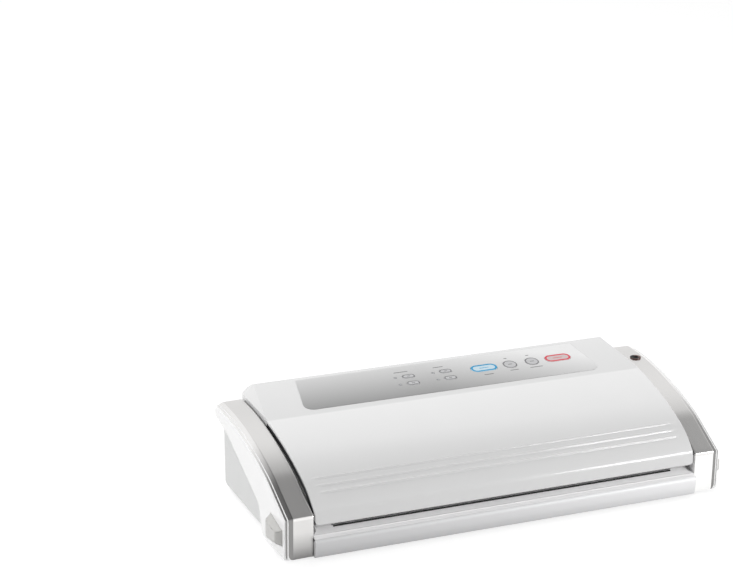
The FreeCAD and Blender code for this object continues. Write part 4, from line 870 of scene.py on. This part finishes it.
def cut_facet(work, side, crease_y, crease_z):
    """Cuts the flat facet at one end of the panel box, and closes it."""
    rear = crease_y + BOX_RUN * math.cos(BOX_SLOPE)
    top_z = crease_z + BOX_RUN * math.sin(BOX_SLOPE)
    start = put(side * beside(-LID_GAP, crease_y), crease_y, crease_z)
    top = put(side * (beside(-LID_GAP, rear) - FACET_INSET), rear, top_z)
    low = put(side * beside(-LID_GAP, rear), rear, top_z - FACET_DROP)
    normal = (low - start).cross(top - start).normalized()
    if normal.z < 0:
        normal = -normal
    near = [f for f in work.faces
            if side * f.calc_center_median().x > (0.0 if len(f.verts) > 9 else 0.05)]
    edges = list(dict.fromkeys(e for f in near for e in f.edges))
    verts = list(dict.fromkeys(v for f in near for v in f.verts))
    bmesh.ops.bisect_plane(work, geom=near + edges + verts, dist=1e-7, plane_co=start,
                           plane_no=normal, clear_outer=True)
    rim = [e for e in work.edges if e.is_boundary
           and all(abs((v.co - start).dot(normal)) < 2e-6 for v in e.verts)]
    filled = bmesh.ops.contextual_create(work, geom=rim)
    for face in filled["faces"]:
        # the facet takes the lid's second, lighter material: painted light
        face.material_index = 1
        if face.normal.dot(normal) < 0:
            face.normal_flip()


def make_lid():
    """The lid's skin; returns the place of the crease in front of the panel box."""
    outer, marks = lid_run(0.0)
    inner, marks = lid_run(1.0)
    columns = lid_columns()
    crease_y, crease_z = outer[marks["crease"]]
    work = bmesh.new()
    grid = lid_grid(work, columns, outer, inner, marks["lip"])
    fill_lid(work, columns, grid, marks)
    for side, word in SIDES:
        cut_facet(work, side, crease_y, crease_z)
    mesh = bpy.data.meshes.new("lid_skin")
    work.normal_update()
    work.to_mesh(mesh)
    work.free()
    smoothed(mesh, 38.0)
    piece = bpy.data.objects.new("lid_skin", mesh)
    finish_piece(piece, "lid_gloss_with_painted_shade", "lid", ("lid_shell",))
    # second material, for the facets: the arm's gloss, lighter than the lid's: painted light
    piece.data.materials.append(materials["arm_gloss"])
    thick = piece.modifiers.new("wall", "SOLIDIFY")
    thick.thickness = SKIN / 1000
    thick.offset = -1.0
    thick.use_even_offset = True
    thick.use_quality_normals = True
    soften(piece)
    return crease_y, crease_z


def make_lid_gap_shades():
    """Painted shade: dark strips along the lid's ends, for the shadow in the gap beside the arms.
    """
    upper, marks = lid_run(LID_GAP_SHADE[0])
    lower, marks = lid_run(LID_GAP_SHADE[1])
    first, last = marks["lip"] + 4, marks["crease"]
    ring = upper[first:last] + lower[first:last][::-1]
    for side, word in SIDES:
        def place(u, v, w):
            return side * (lid_end(u) + w), u, v

        plate("lid_gap_shade_" + word, ring, [], -0.2, 0.2, 0.05, place, "dark_plastic", "lid", steps=1)


CREASE = make_lid()
make_slot_shade_strip()
close_fascia()
for side, word in SIDES:
    skin = make_bezel("bezel_" + word, side)
    core = make_arm("arm_cover_" + word, side)
    if side > 0:
        for piece in (skin, core):
            carved(piece, *port_cutter())
make_lid_gap_shades()

# ------------------------ control panel
SMALL, ROUND, LONG = (11.4, 6.0), (12.6, 12.6), (24.6, 11.4)
# node, size, place across, place up the slope, material, colour of the rim and mark
KEYS = (
    ("key_mode_upper", SMALL, -31.6, 37.1, "key_silver", "ink_grey"),
    ("key_mode_lower", SMALL, -31.6, 25.4, "key_silver", "ink_grey"),
    ("key_time_upper", SMALL, 2.9, 37.1, "key_silver", "ink_grey"),
    ("key_time_lower", SMALL, 2.9, 25.4, "key_silver", "ink_grey"),
    ("key_vacuum_seal", LONG, 37.9, 33.6, "key_blue", "ink_blue"),
    ("key_seal", ROUND, 62.8, 33.5, "key_silver", "ink_grey"),
    ("key_pulse", ROUND, 83.9, 33.5, "key_silver", "ink_grey"),
    ("key_cancel", LONG, 109.0, 33.6, "key_red", "ink_red"),
)
KEY_ROOT, KEY_TOP = -0.55, 0.6          # heights of a key's foot and face over the panel
RIM_MARGIN = 0.25               # from a key's edge to the rim printed on it
RIM_WIDTHS = {"ink_grey": 0.75, "ink_blue": 1.8, "ink_red": 1.8}
MARK_LENGTHS = {SMALL: 3.2, ROUND: 4.0, LONG: 9.0}
LAMPS = ((-43.6, 37.4), (-43.6, 25.4), (-8.7, 37.0), (-8.7, 25.2))
LAMP_SIZE = (2.6, 2.6)
LAMP_ROOT, LAMP_TOP = -7.5, 0.6
SHEET_TOP = 0.4
SHEET_CORNERS = ((-136.3, 6.0), (138.5, 6.0), (131.0, 55.0), (-128.3, 55.0))
SHEET_ROUNDING = 8.0
# plain bars on the sheet: place across, place up the slope, length
MARKS = ((-35.8, 45.4, 13.0), (-1.1, 45.2, 9.5), (37.9, 22.3, 9.0), (62.8, 44.3, 3.0),
         (83.9, 44.3, 3.0), (62.8, 23.6, 8.0), (83.9, 23.6, 12.0))


def on_panel(u, v, w):
    """A place on the panel: across, up the slope from the crease, and out from the surface."""
    return (u, CREASE[0] + v * math.cos(BOX_SLOPE) - w * math.sin(BOX_SLOPE),
            CREASE[1] + v * math.sin(BOX_SLOPE) + w * math.cos(BOX_SLOPE))


def oval(size, x, s, grow=0.0, parts=16):
    """A ring of two straight sides and two half circles, or a circle."""
    length, width = size[0] + 2 * grow, size[1] + 2 * grow
    radius = width / 2
    shift = max(length / 2 - radius, 0.0)
    ring = []
    for side, start in ((1, -90), (-1, 90)):
        for i in range(parts + 1):
            angle = math.radians(start + 180 * i / parts)
            ring.append((x + side * shift + radius * math.cos(angle),
                         s + radius * math.sin(angle)))
    clean = [ring[0]]
    for point in ring[1:]:
        if math.dist(point, clean[-1]) > 0.02 and math.dist(point, ring[0]) > 0.02:
            clean.append(point)
    return clean


def panel_outline():
    """The printed sheet: wider at the front, with its two front corners rounded."""
    ring = []
    for i, corner in enumerate(SHEET_CORNERS):
        if i > 1:
            ring.append(corner)
            continue
        here = Vector(corner)
        back = (Vector(SHEET_CORNERS[i - 1]) - here).normalized()
        ahead = (Vector(SHEET_CORNERS[i + 1]) - here).normalized()
        half = back.angle(ahead) / 2
        centre = here + (back + ahead).normalized() * (SHEET_ROUNDING / math.sin(half))
        start = here + back * (SHEET_ROUNDING / math.tan(half)) - centre
        end = here + ahead * (SHEET_ROUNDING / math.tan(half)) - centre
        turn = start.angle_signed(end)
        for j in range(11):
            ring.append(tuple(centre + Matrix.Rotation(-turn * j / 10, 2) @ start))
    return ring


def printed(name, outline, holes, ink, body, level):
    """A mark printed on the panel or on a key."""
    plate(name, outline, holes, level - 0.01, level + 0.015, 0.005, on_panel, ink, body, steps=1)


def bar(x, s, length, width=0.9):
    """The outline of a short printed bar."""
    return oval((length, width), x, s, parts=5)


def make_key(name, size, x, s, look, ink):
    """A key's cap, the rim printed on it, and the plain bar in its middle."""
    body = body_of_node(name)
    plate(name + "_cap", oval(size, x, s), [], KEY_ROOT, KEY_TOP, 0.22, on_panel, look, body,
          (name,))
    inside = oval(size, x, s, -RIM_MARGIN - RIM_WIDTHS[ink])
    printed(name + "_rim", oval(size, x, s, -RIM_MARGIN), [inside], ink, body, KEY_TOP)
    printed(name + "_mark", bar(x, s, MARK_LENGTHS[size], 0.8), [], ink, body, KEY_TOP)


def make_panel():
    """The printed sheet with its keys, lamps and marks."""
    holes = [oval(size, x, s, 0.2) for name, size, x, s, look, ink in KEYS]
    holes += [oval(LAMP_SIZE, x, s, 0.2, 8) for x, s in LAMPS]
    plate("control_overlay_sheet", panel_outline(), holes, 0.02, SHEET_TOP, 0.12, on_panel,
          "overlay_silver", "lid", ("control_overlay",), steps=2)
    for i, (x, s) in enumerate(LAMPS):
        plate("lamp_%d" % (i + 1), oval(LAMP_SIZE, x, s, 0.0, 8), [], LAMP_ROOT, LAMP_TOP, 0.45,
              on_panel, "lamp_lens", "lid", ("led_lenses",))
    for key in KEYS:
        make_key(*key)
    for i, (x, s, length) in enumerate(MARKS):
        printed("panel_mark_%d" % (i + 1), bar(x, s, length), [], "ink_grey", "lid", SHEET_TOP)


make_panel()


# ------------------------ the other solids
def paint_bore_shade(piece):
    """Painted shade: gives the hose port's bore a dark wall, for the shadow inside the hole."""
    piece.data.materials.append(materials["dark_rubber"])
    axis = put(*splayed(*PORT, 0.0))
    for face in piece.data.polygons:
        away = face.center - axis
        if math.hypot(away.x, away.y) < PORT_BORE_RADIUS / 1000:
            face.material_index = 1


# solids that are shown as dressed copies, and how far their edges are rounded
BEVELS = {
    "lower_casing": 0.0, "base_plate": 0.0,
    "lid_liner": 0.4, "release_button_right": 1.0, "release_button_left": 1.0,
    "button_spring_right": 0.0, "button_spring_left": 0.0,
    "lower_gasket": 0.0, "upper_gasket": 0.0, "seal_bar": 0.5,
    "pressure_strip": 0.4, "hinge_bracket_right": 0.0, "hinge_bracket_left": 0.0,
    "hinge_leaf_right": 0.0, "hinge_leaf_left": 0.0, "cord_gland": 0.0, "port_bushing": 0.0,
    "rubber_feet": 0.0, "lid_hook_right": 0.3, "lid_hook_left": 0.3, "latch_slider_right": 0.3,
    "latch_slider_left": 0.3, "lid_screws": 0.0, "case_screws": 0.0,
}
for name, node in frame["nodes"].items():
    if node.hide_render:
        continue
    if name in BEVELS:
        piece = dressed(name, BEVELS[name])
        if name == "port_bushing":
            paint_bore_shade(piece)
        if name.startswith("button_spring"):
            sprung(piece)
    else:
        look = materials[LOOKS.get(name, slot_of[name])]
        for place in node.material_slots:
            place.material = look
        if not node.material_slots:
            node.data.materials.append(look)


# ------------------------ floor, light and camera
def shared(nodes, links, rays, first, second, part=1.0):
    """Mixes a part of the second shader into the first for the kinds of ray that are named."""
    path = nodes.new("ShaderNodeLightPath")
    either = nodes.new("ShaderNodeMath")
    either.operation = "MAXIMUM"
    links.new(path.outputs[rays[0]], either.inputs[0])
    links.new(path.outputs[rays[-1]], either.inputs[1])
    amount = nodes.new("ShaderNodeMath")
    amount.operation = "MULTIPLY"
    amount.inputs[1].default_value = part
    links.new(either.outputs["Value"], amount.inputs[0])
    mix = nodes.new("ShaderNodeMixShader")
    links.new(amount.outputs["Value"], mix.inputs["Fac"])
    links.new(first, mix.inputs[1])
    links.new(second, mix.inputs[2])
    return mix.outputs["Shader"]


def make_world():
    """Even soft light, a sky that darkens upward in reflections, and white for the camera."""
    world = bpy.data.worlds.new("studio")
    scene.world = world
    world.use_nodes = True
    nodes, links = world.node_tree.nodes, world.node_tree.links
    nodes.clear()
    out = nodes.new("ShaderNodeOutputWorld")

    def sky(strength):
        node = nodes.new("ShaderNodeBackground")
        node.inputs["Color"].default_value = (1, 1, 1, 1)
        node.inputs["Strength"].default_value = strength
        return node

    place = nodes.new("ShaderNodeTexCoord")
    split = nodes.new("ShaderNodeSeparateXYZ")
    links.new(place.outputs["Generated"], split.inputs["Vector"])
    ramp = nodes.new("ShaderNodeValToRGB")
    levels(ramp, ((0.0, 0.95), (0.42, 0.82), (0.75, 0.97), (0.84, 0.36), (0.93, 0.25),
                  (1.0, 0.24)))
    links.new(split.outputs["Z"], ramp.inputs["Fac"])
    mirrored = sky(1.0)
    links.new(ramp.outputs["Color"], mirrored.inputs["Color"])
    soft, white = sky(0.52), sky(1.0)
    seen = shared(nodes, links, ("Is Glossy Ray",), soft.outputs["Background"],
                  mirrored.outputs["Background"])
    seen = shared(nodes, links, ("Is Camera Ray", "Is Transmission Ray"), seen,
                  white.outputs["Background"])
    links.new(seen, out.inputs["Surface"])


def make_floor():
    """A pale floor, almost white to the camera and in reflections, with the shadow kept."""
    mesh = bpy.data.meshes.new("floor")
    work = bmesh.new()
    bmesh.ops.create_grid(work, x_segments=4, y_segments=4, size=4.0)
    work.to_mesh(mesh)
    work.free()
    floor = bpy.data.objects.new("floor", mesh)
    scene.collection.objects.link(floor)
    floor.location.z = -0.0002
    material, nodes, links, shader = new_material("floor_white")
    shader.inputs["Base Color"].default_value = (0.64, 0.64, 0.64, 1)
    shader.inputs["Roughness"].default_value = 0.9
    shader.inputs["Specular IOR Level"].default_value = 0.1
    glow = nodes.new("ShaderNodeEmission")
    glow.inputs["Color"].default_value = (1, 1, 1, 1)
    glow.inputs["Strength"].default_value = 1.65
    seen = shared(nodes, links, ("Is Camera Ray", "Is Glossy Ray"), shader.outputs["BSDF"],
                  glow.outputs["Emission"], 0.46)
    links.new(seen, nodes["Material Output"].inputs["Surface"])
    mesh.materials.append(material)


def lamp(name, place, target, size, power, mirrored=True):
    """A soft rectangular lamp turned to its target; gloss shows it only where mirrored."""
    light = bpy.data.lights.new(name, "AREA")
    light.shape = "RECTANGLE"
    light.size, light.size_y = size
    light.energy = power
    item = bpy.data.objects.new(name, light)
    scene.collection.objects.link(item)
    item.location = place
    item.visible_glossy = mirrored
    item.rotation_euler = (Vector(target) - Vector(place)).to_track_quat("-Z", "Y").to_euler()


make_world()
make_floor()
lamp("key_lamp", (-0.8, 1.2, 2.0), (0, 0, 0.03), (1.6, 1.2), 27.0, False)
lamp("side_lamp", (-1.9, -0.1, 0.6), (0, 0, 0.03), (1.2, 0.9), 10.0, False)
lamp("front_lamp", (0.9, -1.0, 0.45), (0.1, 0, 0.03), (0.7, 0.5), 9.0)

# the camera stands at the front left, a little above the machine
camera_data = bpy.data.cameras.new("camera")
camera_data.lens = 95.08
camera_data.sensor_width = 36.0
camera = bpy.data.objects.new("camera", camera_data)
scene.collection.objects.link(camera)
camera.location = put(-620.37, -1294.55, 684.01)
camera.rotation_euler = (math.radians(71.378), 0.0, math.radians(-20.924))
scene.camera = camera
scene.view_settings.view_transform = "Standard"
